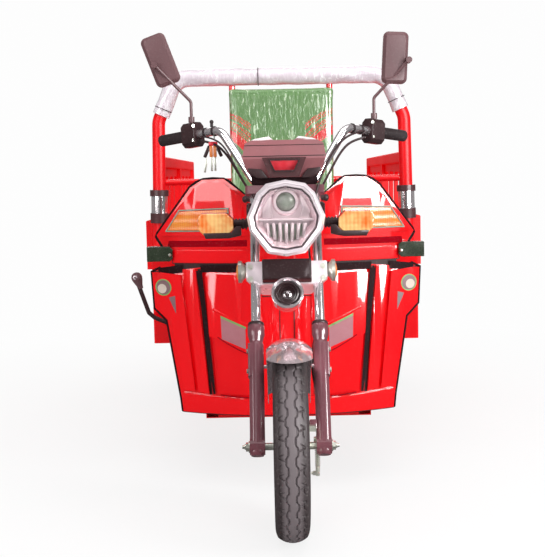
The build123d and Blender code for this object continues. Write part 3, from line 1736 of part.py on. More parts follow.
def tailgate():
    """The tailgate, hinged along its lower edge: a frame round a thin beaded panel."""
    back = at(tail_station)
    front = back - tailgate_thickness
    gate_y, gate_z = gate_axis()
    half = bed_width / 2
    gate = box((-half, half), (front, back), (gate_z, bed_sheet_top))
    border = top_rail_height
    bay_low = gate_z + tailgate_thickness / 2 + border
    panel_half = half - border
    bay = box((-panel_half, panel_half), (back - bed_wall, back), (bay_low, bed_sheet_top - border))
    gate -= fillet(bay.edges().filter_by(Axis.Y), bed_window_corner)
    for share in gate_bead_shares:
        z = bay_low + share * (bed_sheet_top - border - bay_low)
        bead_end = panel_half - border
        gate += rod((-bead_end, back - bed_wall, z), (bead_end, back - bed_wall, z), bed_wall)
    gate += rod((-half, gate_y, gate_z), (half, gate_y, gate_z), tailgate_thickness)
    for x in gate_ear_places:
        gate -= box(
            around(x, gate_ear_width + 2 * gate_ear_gap),
            (back - 2 * tailgate_thickness, back + tailgate_thickness),
            (bed_floor_bottom - tailgate_thickness, gate_z + tailgate_thickness / 2 + running_gap),
        )
    gate -= rod((-half, gate_y, gate_z), (half, gate_y, gate_z), gate_pin_diameter + 2 * fit_gap)
    return fillet(gate.edges().filter_by(Axis.X).group_by(Axis.Z)[-1], top_rail_edge)


# Tail lamps, under the back of the bed
tail_lamp_inset = 100
tail_lamp_width = 130
tail_lamp_height = 50
tail_lamp_depth = 40
tail_lamp_margin = 20
tail_lamp_edge = 7


def tail_lamps():
    """The two tail lamps, hung under the back of the bed floor."""
    back = at(bed_front_station + bed_length) - tail_lamp_margin
    top = bed_floor_bottom - fit_gap
    lamp = box(
        around(bed_width / 2 - tail_lamp_inset, tail_lamp_width),
        (back - tail_lamp_depth, back),
        (top - tail_lamp_height, top),
    )
    return both_sides(fillet(lamp.edges().filter_by(Axis.Y), tail_lamp_edge))


# Parking brake lever
lever_station = 760
lever_diameter = 14
knob_diameter = 27
knob_height = 50
# Side and height of each bend of the lever, from its knob to its foot
lever_points = ((-482, 600), (-446, 493), (-427, 476), (-362, 448), (-362, 405))
lever_bend = 10
lever_bracket_width = 8
lever_bracket_height = 36


def parking_lever():
    """The bent parking brake lever with its knob, on the left edge of the floor tray."""
    y = at(lever_station)
    points = [(x, y, z) for x, z in lever_points]
    lever = bent_tube(points, lever_bend, lever_diameter)
    lean = Vector(*points[0]) - Vector(*points[1])
    top = Vector(*points[0])
    half_knob = lean.normalized() * knob_height / 2
    knob = rod(tuple(top - half_knob), tuple(top + half_knob), knob_diameter)
    knob = fillet(knob.edges().filter_by(GeomType.CIRCLE), knob_diameter / 3)
    foot_x, foot_z = lever_points[-1]
    bracket = box(
        (foot_x, foot_x + lever_bracket_width),
        (y, at(seat_box_front_station) - fit_gap),
        (foot_z, foot_z + lever_bracket_height),
    )
    return lever + knob + bracket


# Brake pedal
pedal_x = -150
pedal_station = 600
pedal_width = 64
pedal_length = 80
pedal_thickness = 10
pedal_height = 70


def brake_pedal():
    """The brake pedal on the floor."""
    low = tray_bottom + fit_gap + sheet_wall + fit_gap
    y = at(pedal_station)
    top = low + pedal_height
    arm = box(around(pedal_x, pedal_thickness), around(y, pedal_thickness), (low, top))
    plate = box(around(pedal_x, pedal_width), around(y, pedal_length), (top, top + pedal_thickness))
    return arm + fillet(plate.edges().filter_by(Axis.Z), pedal_thickness)


seat_pan, seat_foam = seat_cushion()
bed_side_plus, bed_side_minus = bed_sides()
rear_hub_low = -hub_length / 2

nodes = {
    "front_tyre": wheel_place(0, 0, front_axle_z) * tyre(front_tyre_diameter, front_tyre_width),
    "front_rim": wheel_place(0, 0, front_axle_z)
    * rim(
        front_tyre_width,
        front_axle_diameter + 2 * fit_gap,
        -hub_length / 2,
        disc_thickness / 2 + drum_depth,
        disc_thickness / 2 + drum_depth,
    ),
    "fork_legs": fork_legs(),
    "fork_tubes": fork_tubes(),
    "lower_yoke": lower_yoke(),
    "upper_yoke": upper_yoke(),
    "front_axle": front_axle(),
    "front_brake_plate": front_brake_plate(),
    "handlebar": handlebar(),
    "grips": grips(),
    "switch_housings": switches(),
    "mirror_shells": mirror_heads(),
    "mirror_glasses": mirror_glasses(),
    "headlamp_shell": headlamp_shell(),
    "headlamp_lens": headlamp_lens(),
    "headlamp_reflector": headlamp_reflector(),
    "headlamp_ears": headlamp_ears(),
    "signal_lenses": signal_lenses(),
    "signal_stalks": signal_stalks(),
    "instrument_housing": instrument_housing(),
    "instrument_window": instrument_window(),
    "plate_block": plate_block(),
    "horn": horn(),
    "fork_reflectors": fork_reflectors(),
    "front_mudguard": front_mudguard(),
    "upper_shield": upper_shield(),
    "lower_shield": lower_shield(),
    "shield_liner": shield_liner(),
    "shield_lamps": shield_lamps(),
    "side_markers": side_markers(),
    "floor_tray": floor_tray(),
    "seat_box": seat_box(),
    "battery_pack": battery_pack(),
    "seat_pan": seat_pan,
    "seat_cushion": seat_foam,
    "seat_arch": seat_arch(),
    "arch_collars": arch_collars(),
    "arch_padding": arch_padding(),
    "backrest_cushion": backrest_cushion(),
    "backrest_frame": backrest_frame(),
    "chassis": chassis(),
    "front_frame": front_frame(),
    "rear_axle": rear_axle(),
    "drive_motor": drive_motor(),
    "leaf_springs": leaf_springs(),
    "rear_mudguards": rear_mudguards(),
    "bed_floor": bed_floor(),
    "bed_side_left": bed_side_plus,
    "bed_side_right": bed_side_minus,
    "bed_front_panel": bed_front_panel(),
    "tailgate": tailgate(),
    "tail_lamps": tail_lamps(),
    "parking_lever": parking_lever(),
    "brake_pedal": brake_pedal(),
}
for side, side_name in ((1, "left"), (-1, "right")):
    centre = wheel_place(side * rear_wheel_centre, wheelbase, rear_axle_z)
    nodes[f"rear_tyre_{side_name}"] = centre * tyre(rear_tyre_diameter, rear_tyre_width)
    nodes[f"rear_rim_{side_name}"] = centre * rim(
        rear_tyre_width, stub_diameter + 2 * fit_gap, rear_hub_low, -rear_hub_low, side * rear_hub_low
    )

for name, shape in nodes.items():
    export_step(shape, f"parts/{name}.step")
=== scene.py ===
import json
from math import atan2, cos, pi, radians, sin, sqrt

import bmesh
import bpy
from mathutils import Matrix, Vector, noise


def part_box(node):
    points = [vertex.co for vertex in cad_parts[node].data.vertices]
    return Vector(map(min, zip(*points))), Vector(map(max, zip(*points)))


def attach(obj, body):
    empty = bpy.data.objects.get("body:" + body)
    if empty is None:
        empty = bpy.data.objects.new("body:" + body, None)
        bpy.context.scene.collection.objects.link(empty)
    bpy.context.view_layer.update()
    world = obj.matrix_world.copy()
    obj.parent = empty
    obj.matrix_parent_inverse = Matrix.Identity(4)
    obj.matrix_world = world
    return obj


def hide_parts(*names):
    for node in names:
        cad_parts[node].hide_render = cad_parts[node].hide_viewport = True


bl_info = {
    "name": "Cargo tricycle finish",
    "version": (1, 0, 0),
    "blender": (4, 5, 0),
    "location": "View3D > Sidebar > Tricycle",
    "description": "Dresses the packed cargo tricycle with its paint, rubber, lamps and padding",
    "category": "Object",
}

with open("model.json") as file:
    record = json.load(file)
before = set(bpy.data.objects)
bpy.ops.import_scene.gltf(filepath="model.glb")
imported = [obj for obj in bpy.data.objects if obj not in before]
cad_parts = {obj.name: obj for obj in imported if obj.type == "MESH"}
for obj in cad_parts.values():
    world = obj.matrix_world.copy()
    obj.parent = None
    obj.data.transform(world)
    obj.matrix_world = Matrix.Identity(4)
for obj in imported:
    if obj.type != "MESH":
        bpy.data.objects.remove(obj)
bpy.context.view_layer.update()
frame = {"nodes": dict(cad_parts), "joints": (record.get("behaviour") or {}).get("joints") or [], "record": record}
MM = 0.001
JOINTS = {joint["name"]: joint for joint in frame["joints"]}
FRONT_AXLE = Vector(JOINTS["front_wheel_spin"]["pos_m"])
FORK_AXIS = Vector(JOINTS["steering_turn"]["axis"]).normalized()
RAKE = atan2(FORK_AXIS.y, FORK_AXIS.z)

# Shapes are made in millimetres: in the vehicle's frame of side, distance behind the front axle and height,
# or in the fork's own frame, whose z runs up the legs from the axle
VEHICLE = Matrix.Translation((0, FRONT_AXLE.y, 0)) @ Matrix.Scale(MM, 4)
FORK = Matrix.Translation(FRONT_AXLE) @ Matrix.Rotation(-RAKE, 4, "X") @ Matrix.Scale(MM, 4)


class TricycleColours(bpy.types.PropertyGroup):
    """The colours of the finishes."""

    red: bpy.props.FloatVectorProperty(
        name="Red paint",
        description="Gloss paint of the body",
        subtype="COLOR",
        size=3,
        default=(0.93, 0.002, 0.007),
    )
    deep_red: bpy.props.FloatVectorProperty(
        name="Deep red",
        description="Paint in its darker patches",
        subtype="COLOR",
        size=3,
        default=(0.80, 0.001, 0.004),
    )
    maroon: bpy.props.FloatVectorProperty(
        name="Fork paint",
        description="Satin paint of the fork legs",
        subtype="COLOR",
        size=3,
        default=(0.20, 0.064, 0.084),
    )
    dark: bpy.props.FloatVectorProperty(
        name="Dark plastic",
        description="Plastic of the housings",
        subtype="COLOR",
        size=3,
        default=(0.100, 0.036, 0.040),
    )
    black: bpy.props.FloatVectorProperty(
        name="Black plastic",
        description="Plastic of liners and trays",
        subtype="COLOR",
        size=3,
        default=(0.020, 0.013, 0.014),
    )
    rubber: bpy.props.FloatVectorProperty(
        name="Tyre rubber",
        description="Rubber of the tyres",
        subtype="COLOR",
        size=3,
        default=(0.060, 0.042, 0.045),
    )
    amber: bpy.props.FloatVectorProperty(
        name="Amber",
        description="Amber lamp plastic",
        subtype="COLOR",
        size=3,
        default=(0.80, 0.14, 0.008),
    )
    # Painted reflection: the pale amber stands for the reflector's light seen through the lens
    pale_amber: bpy.props.FloatVectorProperty(
        name="Pale amber",
        description="Amber plastic over its bright reflector",
        subtype="COLOR",
        size=3,
        default=(0.90, 0.42, 0.06),
    )
    green: bpy.props.FloatVectorProperty(
        name="Cushion green",
        description="Vinyl of the back cushion",
        subtype="COLOR",
        size=3,
        default=(0.13, 0.27, 0.085),
    )
    foam: bpy.props.FloatVectorProperty(
        name="Foam white",
        description="Foam sleeve of the arch",
        subtype="COLOR",
        size=3,
        default=(0.70, 0.61, 0.67),
    )


class TricycleSizes(bpy.types.PropertyGroup):
    """The small sizes of the dressed pieces."""

    groove: bpy.props.FloatProperty(
        name="Tread groove", description="Depth of the tyres' main grooves", unit="LENGTH", default=0.005
    )
    cable: bpy.props.FloatProperty(
        name="Cable", description="Diameter of the control cables", unit="LENGTH", default=0.006
    )
    voxel: bpy.props.FloatProperty(
        name="Cushion voxel", description="Grid of the cushions' meshes", unit="LENGTH", default=0.006
    )


def colour(name):
    """A finish colour as RGBA."""
    return (*getattr(bpy.context.scene.tricycle_colours, name), 1.0)


def size(name):
    """One of the small sizes, in millimetres."""
    return getattr(bpy.context.scene.tricycle_sizes, name) / MM


def add_node(tree, kind, links=None, **values):
    """A shader node with its values set by attribute or input name, and its inputs linked."""
    node = tree.nodes.new(kind)
    for key, value in values.items():
        if hasattr(node, key):
            setattr(node, key, value)
        else:
            node.inputs[key.replace("_", " ")].default_value = value
    for key, socket in (links or {}).items():
        tree.links.new(socket, node.inputs[key])
    return node


def feed(tree, sockets, values):
    """Links or sets sockets in their order. Each value is another socket, a number or a colour."""
    for socket, value in zip(sockets, values):
        if isinstance(value, bpy.types.NodeSocket):
            tree.links.new(value, socket)
        else:
            socket.default_value = value


def maths(tree, operation, *values):
    """The result of a sum in the shader."""
    node = add_node(tree, "ShaderNodeMath", operation=operation)
    feed(tree, node.inputs, values)
    return node.outputs[0]


def ranged(tree, *values):
    """A value carried over from one range to another: value, from low, from high, to low, to high."""
    node = add_node(tree, "ShaderNodeMapRange")
    feed(tree, node.inputs, values)
    return node.outputs[0]


def noise_of(tree, place, scale, detail, **values):
    """Clouds of noise over a place."""
    node = add_node(tree, "ShaderNodeTexNoise", {"Vector": place}, Detail=detail, **values)
    feed(tree, [node.inputs["Scale"]], [scale])
    return node.outputs[0]


def mix_colours(tree, factor, first, second):
    """The mix of two colours."""
    node = add_node(tree, "ShaderNodeMix", {"Factor": factor}, data_type="RGBA")
    feed(tree, node.inputs[6:8], (first, second))
    return node.outputs[2]


def object_place(tree):
    """The place on the piece."""
    return add_node(tree, "ShaderNodeTexCoord").outputs["Object"]


def start_group(name, inputs, outputs):
    """An empty shader node group with its sockets, and its two end nodes' sockets."""
    group = bpy.data.node_groups.new(name, "ShaderNodeTree")
    for label, kind, value in inputs:
        group.interface.new_socket(label, in_out="INPUT", socket_type=kind).default_value = value
    for label, kind in outputs:
        group.interface.new_socket(label, in_out="OUTPUT", socket_type=kind)
    return group, group.nodes.new("NodeGroupInput").outputs, group.nodes.new("NodeGroupOutput").inputs


FLOAT, TINT = "NodeSocketFloat", "NodeSocketColor"
WHITE = (1, 1, 1, 1)
DUST = (0.62, 0.57, 0.55, 1)


def skin_group():
    """The shared surface group: patches of two colours, specks of dust, fine grain and a spread of gloss."""
    if "surface_skin" in bpy.data.node_groups:
        return bpy.data.node_groups["surface_skin"]
    inputs = (
        ("Colour", TINT, WHITE),
        ("Second Colour", TINT, WHITE),
        ("Patch Scale", FLOAT, 4.0),
        ("Patch Share", FLOAT, 0.5),
        ("Grain Scale", FLOAT, 300.0),
        ("Rough Low", FLOAT, 0.2),
        ("Rough High", FLOAT, 0.4),
        ("Dust", FLOAT, 0.05),
    )
    group, given, made = start_group(
        "surface_skin", inputs, (("Colour", TINT), ("Roughness", FLOAT), ("Height", FLOAT))
    )
    place = object_place(group)
    patch = noise_of(group, place, given["Patch Scale"], 6.0)
    share = maths(group, "MULTIPLY", patch, given["Patch Share"])
    mixed = mix_colours(group, share, given["Colour"], given["Second Colour"])
    specks = ranged(group, noise_of(group, place, 160.0, 5.0), 0.56, 0.7, 0.0, given["Dust"])
    grain = noise_of(group, place, given["Grain Scale"], 3.0)
    rough = ranged(group, patch, 0.3, 0.7, given["Rough Low"], given["Rough High"])
    feed(group, made, (mix_colours(group, specks, mixed, DUST), rough, grain))
    return group


def ribbed_group():
    """The shared lens group: fine upright ribs crossed by prisms, and a brighter middle that is a painted
    reflection of the reflector behind the lens.
    """
    if "ribbed_lens" in bpy.data.node_groups:
        return bpy.data.node_groups["ribbed_lens"]
    inputs = (
        ("Edge Colour", TINT, WHITE),
        ("Reflection Colour", TINT, WHITE),
        ("Rib Scale", FLOAT, 60.0),
        ("Prism Scale", FLOAT, 40.0),
        ("Reflection Share", FLOAT, 0.6),
    )
    group, given, made = start_group("ribbed_lens", inputs, (("Colour", TINT), ("Height", FLOAT)))
    place = object_place(group)

    def bands(scale, direction):
        """Even bands across one direction."""
        links = {"Vector": place, "Scale": scale}
        return add_node(group, "ShaderNodeTexWave", links, bands_direction=direction).outputs["Fac"]

    ribs = bands(given["Rib Scale"], "X")
    prisms = bands(given["Prism Scale"], "Z")
    # Painted reflection: a brighter middle in noisy patches, for the reflector behind the lens
    spread = ranged(group, noise_of(group, place, 26.0, 2.0), 0.35, 0.62, 0.0, given["Reflection Share"])
    shade = maths(group, "MULTIPLY_ADD", ribs, 0.25, spread)
    mixed = mix_colours(group, shade, given["Edge Colour"], given["Reflection Colour"])
    feed(group, made, (mixed, maths(group, "ADD", ribs, prisms)))
    return group


def film_group():
    """The shared group of wrapping film: long creases and crinkles over a colour, painted pale as highlights on
    the film.
    """
    if "wrapping_film" in bpy.data.node_groups:
        return bpy.data.node_groups["wrapping_film"]
    inputs = (
        ("Colour", TINT, WHITE),
        ("Crease Highlight Colour", TINT, WHITE),
        ("Crease Low", FLOAT, 0.58),
        ("Crease High", FLOAT, 0.66),
        ("Rough Flat", FLOAT, 0.4),
    )
    group, given, made = start_group(
        "wrapping_film", inputs, (("Colour", TINT), ("Roughness", FLOAT), ("Height", FLOAT))
    )
    place = object_place(group)
    drawn = add_node(
        group, "ShaderNodeMapping", {"Vector": place}, Scale=(95.0, 95.0, 24.0), Rotation=(0, 0.24, 0)
    ).outputs[0]
    long_noise = noise_of(group, drawn, 1.0, 3.0, Distortion=0.9)
    creases = ranged(group, long_noise, given["Crease Low"], given["Crease High"])
    crinkle = add_node(
        group, "ShaderNodeTexVoronoi", {"Vector": drawn}, Scale=1.6, feature="DISTANCE_TO_EDGE"
    ).outputs[0]
    lines = ranged(group, crinkle, 0.0, 0.05, 0.3, 0.0)
    mask = maths(group, "MAXIMUM", creases, lines)
    # Painted highlight: the creases and crinkle lines are mixed in patches towards the pale crease colour
    share = ranged(group, noise_of(group, place, 9.0, 2.0), 0.35, 0.6, 0.35)
    thin = maths(group, "MULTIPLY", mask, share)
    mixed = mix_colours(group, thin, given["Colour"], given["Crease Highlight Colour"])
    rough = ranged(group, mask, 0.0, 1.0, given["Rough Flat"], 0.14)
    feed(group, made, (mixed, rough, long_noise))
    return group


# Tone, second tone, patch scale and share, grain scale, lowest and highest roughness, bump, coat, dust
FINISHES = {
    "red_paint": ("red", "deep_red", 2.2, 0.5, 240, (0.14, 0.24), 0.03, 1.0, 0.012),
    "red_plastic": ("red", "deep_red", 3.0, 0.5, 320, (0.16, 0.26), 0.03, 1.0, 0.012),
    "maroon_paint": ("maroon", "dark", 9.0, 0.6, 500, (0.26, 0.40), 0.08, 0.6, 0.04),
    "dark_plastic": ("dark", "black", 8.0, 0.5, 900, (0.34, 0.48), 0.22, 0.25, 0.04),
    "black_plastic": ("black", "dark", 7.0, 0.5, 900, (0.36, 0.52), 0.25, 0.15, 0.03),
    "rubber": ("black", "rubber", 14.0, 0.6, 700, (0.50, 0.68), 0.4, 0.0, 0.05),
}
# Tone, second tone, lowest and highest roughness, grain scale, bump, how metallic
METALS = {
    "chrome": ((0.92, 0.87, 0.89, 1), (0.80, 0.72, 0.75, 1), (0.05, 0.14), 200, 0.02, 0.9),
    "silver_shell": ((0.84, 0.76, 0.79, 1), (0.72, 0.60, 0.65, 1), (0.22, 0.34), 300, 0.03, 0.35),
    "rim": ((0.42, 0.41, 0.42, 1), (0.34, 0.33, 0.34, 1), (0.32, 0.46), 400, 0.06, 0.8),
    "steel": ((0.60, 0.60, 0.54, 1), (0.40, 0.41, 0.34, 1), (0.22, 0.42), 500, 0.10, 0.8),
    "reflector": ((1.0, 0.87, 0.90, 1), (0.82, 0.72, 0.73, 1), (0.08, 0.18), 300, 0.05, 0.5),
}
# Tone, second tone, patch scale and share, grain scale, lowest and highest roughness, bump, other inputs
SKINS = {
    # Dark glass of the projector, also used as painted shade in the slots between the headlamp's lower fins
    "bulb_glass_and_slot_shade": (
        (0.10, 0.14, 0.10, 1), (0.42, 0.46, 0.40, 1), 60.0, 1.0, 120, (0.03, 0.10), 0.1,
        {"Coat_Weight": 1.0},
    ),
    "mirror": (
        (0.80, 0.82, 0.84, 1), (0.74, 0.76, 0.80, 1), 5.0, 0.4, 50, (0.02, 0.05), 0.0,
        {"Metallic": 1.0},
    ),
    "cast": ((0.03, 0.03, 0.032, 1), (0.06, 0.055, 0.05, 1), 12.0, 0.8, 260, (0.5, 0.7), 0.5, {}),
    "seat_vinyl": (
        (0.022, 0.018, 0.018, 1), (0.04, 0.034, 0.034, 1), 8.0, 0.5, 420, (0.40, 0.55), 0.6,
        {"Coat_Weight": 0.2},
    ),
    "battery": ((0.03, 0.03, 0.035, 1), (0.05, 0.05, 0.055, 1), 8.0, 0.5, 420, (0.42, 0.55), 0.4, {}),
    "decal": (
        (0.36, 0.10, 0.125, 1), (0.50, 0.24, 0.27, 1), 16.0, 1.0, 300, (0.40, 0.55), 0.1,
        {"Specular_IOR_Level": 0.15},
    ),
    "decal_green": (
        (0.10, 0.32, 0.05, 1), (0.30, 0.50, 0.16, 1), 60.0, 1.0, 300, (0.25, 0.40), 0.1,
        {"Coat_Weight": 1.0},
    ),
    "decal_dark": ((0.16, 0.07, 0.08, 1), (0.24, 0.12, 0.13, 1), 30.0, 1.0, 300, (0.40, 0.55), 0.1, {}),
    "badge_pale": ((0.70, 0.55, 0.50, 1), (0.55, 0.50, 0.40, 1), 60.0, 1.0, 300, (0.30, 0.45), 0.1, {}),
    "pod_plastic": (
        (0.42, 0.15, 0.165, 1), (0.17, 0.055, 0.062, 1), 9.0, 0.8, 700, (0.24, 0.36), 0.15,
        {"Coat_Weight": 0.6},
    ),
    "arch_paint": ("red", "deep_red", 2.2, 0.5, 240, (0.30, 0.40), 0.03, {"Specular_IOR_Level": 0.15}),
    "bed_paint": ("red", "deep_red", 2.2, 0.5, 240, (0.45, 0.60), 0.05, {"Specular_IOR_Level": 0.12}),
    # Painted shade: the dark red of the shield's groove and creases
    "groove_shade_red": (
        (0.34, 0.003, 0.010, 1), (0.22, 0.002, 0.008, 1), 6.0, 0.7, 240, (0.35, 0.50), 0.05,
        {"Specular_IOR_Level": 0.0},
    ),
    # Black of the rubber seals, also used as painted shade in the shield's recesses and under the instrument
    "seal_and_shade_black": (
        (0.016, 0.004, 0.006, 1), (0.028, 0.008, 0.010, 1), 9.0, 0.7, 500, (0.6, 0.8), 0.1,
        {"Specular_IOR_Level": 0.05},
    ),
    "lamp_edge": ((0.16, 0.30, 0.22, 1), (0.34, 0.46, 0.38, 1), 40.0, 0.9, 300, (0.25, 0.40), 0.1, {}),
    "mirror_plastic": (
        (0.17, 0.085, 0.092, 1), (0.10, 0.045, 0.05, 1), 9.0, 0.8, 700, (0.34, 0.46), 0.15,
        {"Specular_IOR_Level": 0.2},
    ),
    "guard_chrome": (
        (0.92, 0.80, 0.83, 1), (0.50, 0.33, 0.36, 1), 34.0, 0.9, 70, (0.08, 0.20), 1.0,
        {"Metallic": 0.75},
    ),
    "marker_black": (
        (0.012, 0.020, 0.008, 1), (0.03, 0.05, 0.02, 1), 30.0, 0.8, 300, (0.2, 0.3), 0.2,
        {"Coat_Weight": 0.5},
    ),
    "tag": ((0.80, 0.012, 0.03, 1), (0.6, 0.01, 0.02, 1), 30.0, 0.6, 300, (0.3, 0.4), 0.2, {}),
    "key_head": ((0.80, 0.22, 0.03, 1), (0.62, 0.14, 0.02, 1), 60.0, 0.7, 300, (0.3, 0.4), 0.2, {}),
}
# Edge tone, middle tone painted as the reflection of the lamp's reflector, rib scale, prism scale, share of that
# painted reflection, bump
LENSES = {
    "amber": ("amber", "pale_amber", 46.0, 14.0, 0.35, 0.6),
    "bright_amber": ("amber", (0.90, 0.55, 0.20, 1), 30.0, 26.0, 0.8, 0.9),
    "red_lens": ((0.95, 0.03, 0.05, 1), (1.0, 0.10, 0.13, 1), 12.0, 9.0, 0.3, 0.2),
}
MADE_FINISHES = {}


def bumped_shader(tree, colour_socket, rough_socket, height_socket, bump, distance=0.0004, **values):
    """A Principled shader fed by sockets, joined to the material's output."""
    raised = add_node(tree, "ShaderNodeBump", {"Height": height_socket}, Strength=bump, Distance=distance)
    links = {"Normal": raised.outputs["Normal"]}
    if colour_socket:
        links["Base Color"] = colour_socket
    if rough_socket:
        links["Roughness"] = rough_socket
    shader = add_node(tree, "ShaderNodeBsdfPrincipled", links, **values)
    output = tree.nodes.new("ShaderNodeOutputMaterial")
    tree.links.new(shader.outputs[0], output.inputs["Surface"])
    return shader


def new_material(name):
    """An empty node material, and its tree."""
    material = bpy.data.materials.new(name)
    material.use_nodes = True
    material.node_tree.nodes.clear()
    return material, material.node_tree


def placed_group(tree, group, *values):
    """A shared group in a material, with its inputs in order."""
    node = tree.nodes.new("ShaderNodeGroup")
    node.node_tree = group
    feed(tree, node.inputs, values)
    return node.outputs


def rgba(tone):
    """A finish colour by its name, or a colour as it is."""
    return colour(tone) if isinstance(tone, str) else tone


def skinned_material(name, tone, second, patch, share, grain, rough, bump, dust=0.03, **shader_values):
    """A material whose colour, roughness and bump come from the shared surface group."""
    material, tree = new_material(name)
    skin = placed_group(tree, skin_group(), rgba(tone), rgba(second), patch, share, grain, *rough, dust)
    bumped_shader(tree, skin["Colour"], skin["Roughness"], skin["Height"], bump, **shader_values)
    return material


def lens_material(name, edge, middle, ribs, prisms, share, bump):
    """A ribbed lamp lens, with the reflector behind it painted into its colour as a reflection."""
    material, tree = new_material(name)
    lens = placed_group(tree, ribbed_group(), rgba(edge), rgba(middle), ribs, prisms, share)
    bumped_shader(
        tree, lens["Colour"], None, lens["Height"], bump,
        Roughness=0.16, Coat_Weight=1.0, Coat_Roughness=0.03,
    )
    return material


def under_film(tree, bump, coat, coat_rough, *values):
    """A padded surface under wrapping film, from its colour, the pale crease colour painted as the film's
    highlights, crease range and roughness.
    """
    film = placed_group(tree, film_group(), *values)
    bumped_shader(
        tree, film["Colour"], film["Roughness"], film["Height"], bump, 0.004,
        Coat_Weight=coat, Coat_Roughness=coat_rough,
    )


def foam_under_film():
    """The arch's foam sleeve under clear wrapping film."""
    material, tree = new_material("foam")
    # The near-white second colour is the film's painted highlight
    under_film(tree, 0.35, 0.7, 0.08, colour("foam"), (1.0, 0.97, 0.99, 1), 0.50, 0.66, 0.36)
    return material


def clear_glass():
    """The clear plastic of the headlamp lens."""
    material, tree = new_material("clear")
    ripple = add_node(tree, "ShaderNodeTexNoise", {"Vector": object_place(tree)}, Scale=34.0).outputs[0]
    bumped_shader(
        tree, None, None, ripple, 0.08, 0.001,
        Base_Color=(0.99, 0.955, 0.965, 1), Roughness=0.03, Transmission_Weight=1.0, IOR=1.25,
    )
    return material


def striped_vinyl():
    """The back cushion's green vinyl under film, with its plain red stripes low at each side."""
    material, tree = new_material("green_vinyl")
    place = object_place(tree)
    apart = add_node(tree, "ShaderNodeSeparateXYZ", {0: place}).outputs
    aside = maths(tree, "ABSOLUTE", maths(tree, "ADD", apart[0], 0.0125))
    # The stripes fall away from the sides along arcs round a centre low and outside
    arc_x = maths(tree, "SUBTRACT", aside, 0.27)
    arc_z = maths(tree, "SUBTRACT", apart[2], 0.90)
    spot = add_node(tree, "ShaderNodeCombineXYZ", {0: arc_x, 2: arc_z}).outputs[0]
    reach = add_node(tree, "ShaderNodeVectorMath", {0: spot}, operation="LENGTH").outputs["Value"]

    def striped(tint, middle, half, *masks):
        """A colour with a soft red band at a distance from the arcs' centre, where the masks let it."""
        off = maths(tree, "ABSOLUTE", maths(tree, "SUBTRACT", reach, middle))
        band = ranged(tree, off, half, half + 0.0012, 1.0, 0.0)
        for mask in masks:
            band = maths(tree, "MULTIPLY", band, mask)
        return mix_colours(tree, band, tint, (0.72, 0.006, 0.012, 1))

    checks = add_node(tree, "ShaderNodeTexChecker", {"Vector": place}, Scale=170.0).outputs["Fac"]
    outer = maths(tree, "GREATER_THAN", aside, 0.096)
    tint = placed_group(
        tree, skin_group(), colour("green"), (0.085, 0.20, 0.055, 1), 9.0, 0.7, 420, 0.3, 0.45, 0.03
    )["Colour"]
    for middle, half in ((0.268, 0.0050), (0.258, 0.0025), (0.240, 0.0060), (0.226, 0.0040)):
        tint = striped(tint, middle, half, outer, checks)
    tint = striped(tint, 0.203, 0.0150, outer)
    # The pale green second colour is the film's painted highlight
    under_film(tree, 0.5, 0.45, 0.1, tint, (0.62, 0.76, 0.52, 1), 0.60, 0.66, 0.30)
    return material


def tyre_rubber():
    """The tyres' rubber with specks of dust: dark walls, and a crown around each tyre's middle plane painted
    lighter as a painted highlight.
    """
    material, tree = new_material("tyre")
    side = add_node(tree, "ShaderNodeSeparateXYZ", {0: object_place(tree)}).outputs[0]
    aside = maths(tree, "ABSOLUTE", side)
    half_track = abs(JOINTS["rear_wheel_left_spin"]["pos_m"][0])
    rear_aside = maths(tree, "ABSOLUTE", maths(tree, "SUBTRACT", aside, half_track))
    # Painted highlight: a lighter crown near each tyre's middle plane, fading out towards the walls
    crown = ranged(tree, maths(tree, "MINIMUM", aside, rear_aside), 0.017, 0.028, 1.0, 0.0)
    skin = placed_group(
        tree, skin_group(), colour("rubber"), colour("black"), 10.0, 0.7, 500, 0.55, 0.75, 0.10
    )
    # The crown is mixed to a lighter colour as painted light from the front
    tint = mix_colours(tree, crown, skin["Colour"], (0.155, 0.128, 0.135, 1))
    bumped_shader(tree, tint, skin["Roughness"], skin["Height"], 0.4, Specular_IOR_Level=0.25)
    return material


MAKERS = {"clear": clear_glass, "foam": foam_under_film, "green_vinyl": striped_vinyl, "tyre": tyre_rubber}


def make_finish(name):
    """A new material for a slot or a look."""
    if name in FINISHES:
        *row, coat, dust = FINISHES[name]
        return skinned_material(
            name, *row, dust, Coat_Weight=coat, Coat_Roughness=0.02, Specular_IOR_Level=0.12
        )
    if name in METALS:
        tone, second, rough, grain, bump, metallic = METALS[name]
        return skinned_material(name, tone, second, 5.0, 0.6, grain, rough, bump, 0.02, Metallic=metallic)
    if name in SKINS:
        *row, shader_values = SKINS[name]
        return skinned_material(name, *row, **shader_values)
    if name in LENSES:
        return lens_material(name, *LENSES[name])
    return MAKERS[name]()


def finish(name):
    """The material of a slot or a look, made when it is first asked for."""
    if name not in MADE_FINISHES:
        MADE_FINISHES[name] = make_finish(name)
    return MADE_FINISHES[name]


def record_slots():
    """The record's material slot of each CAD node."""
    return {row["node"]: row["material_slot"] for row in frame["record"]["subparts"]}


def body_of_node(node):
    """The body that a CAD node rides on."""
    bodies = frame["record"]["behaviour"]["bodies"]
    return next(body for body, members in bodies.items() if node in members)


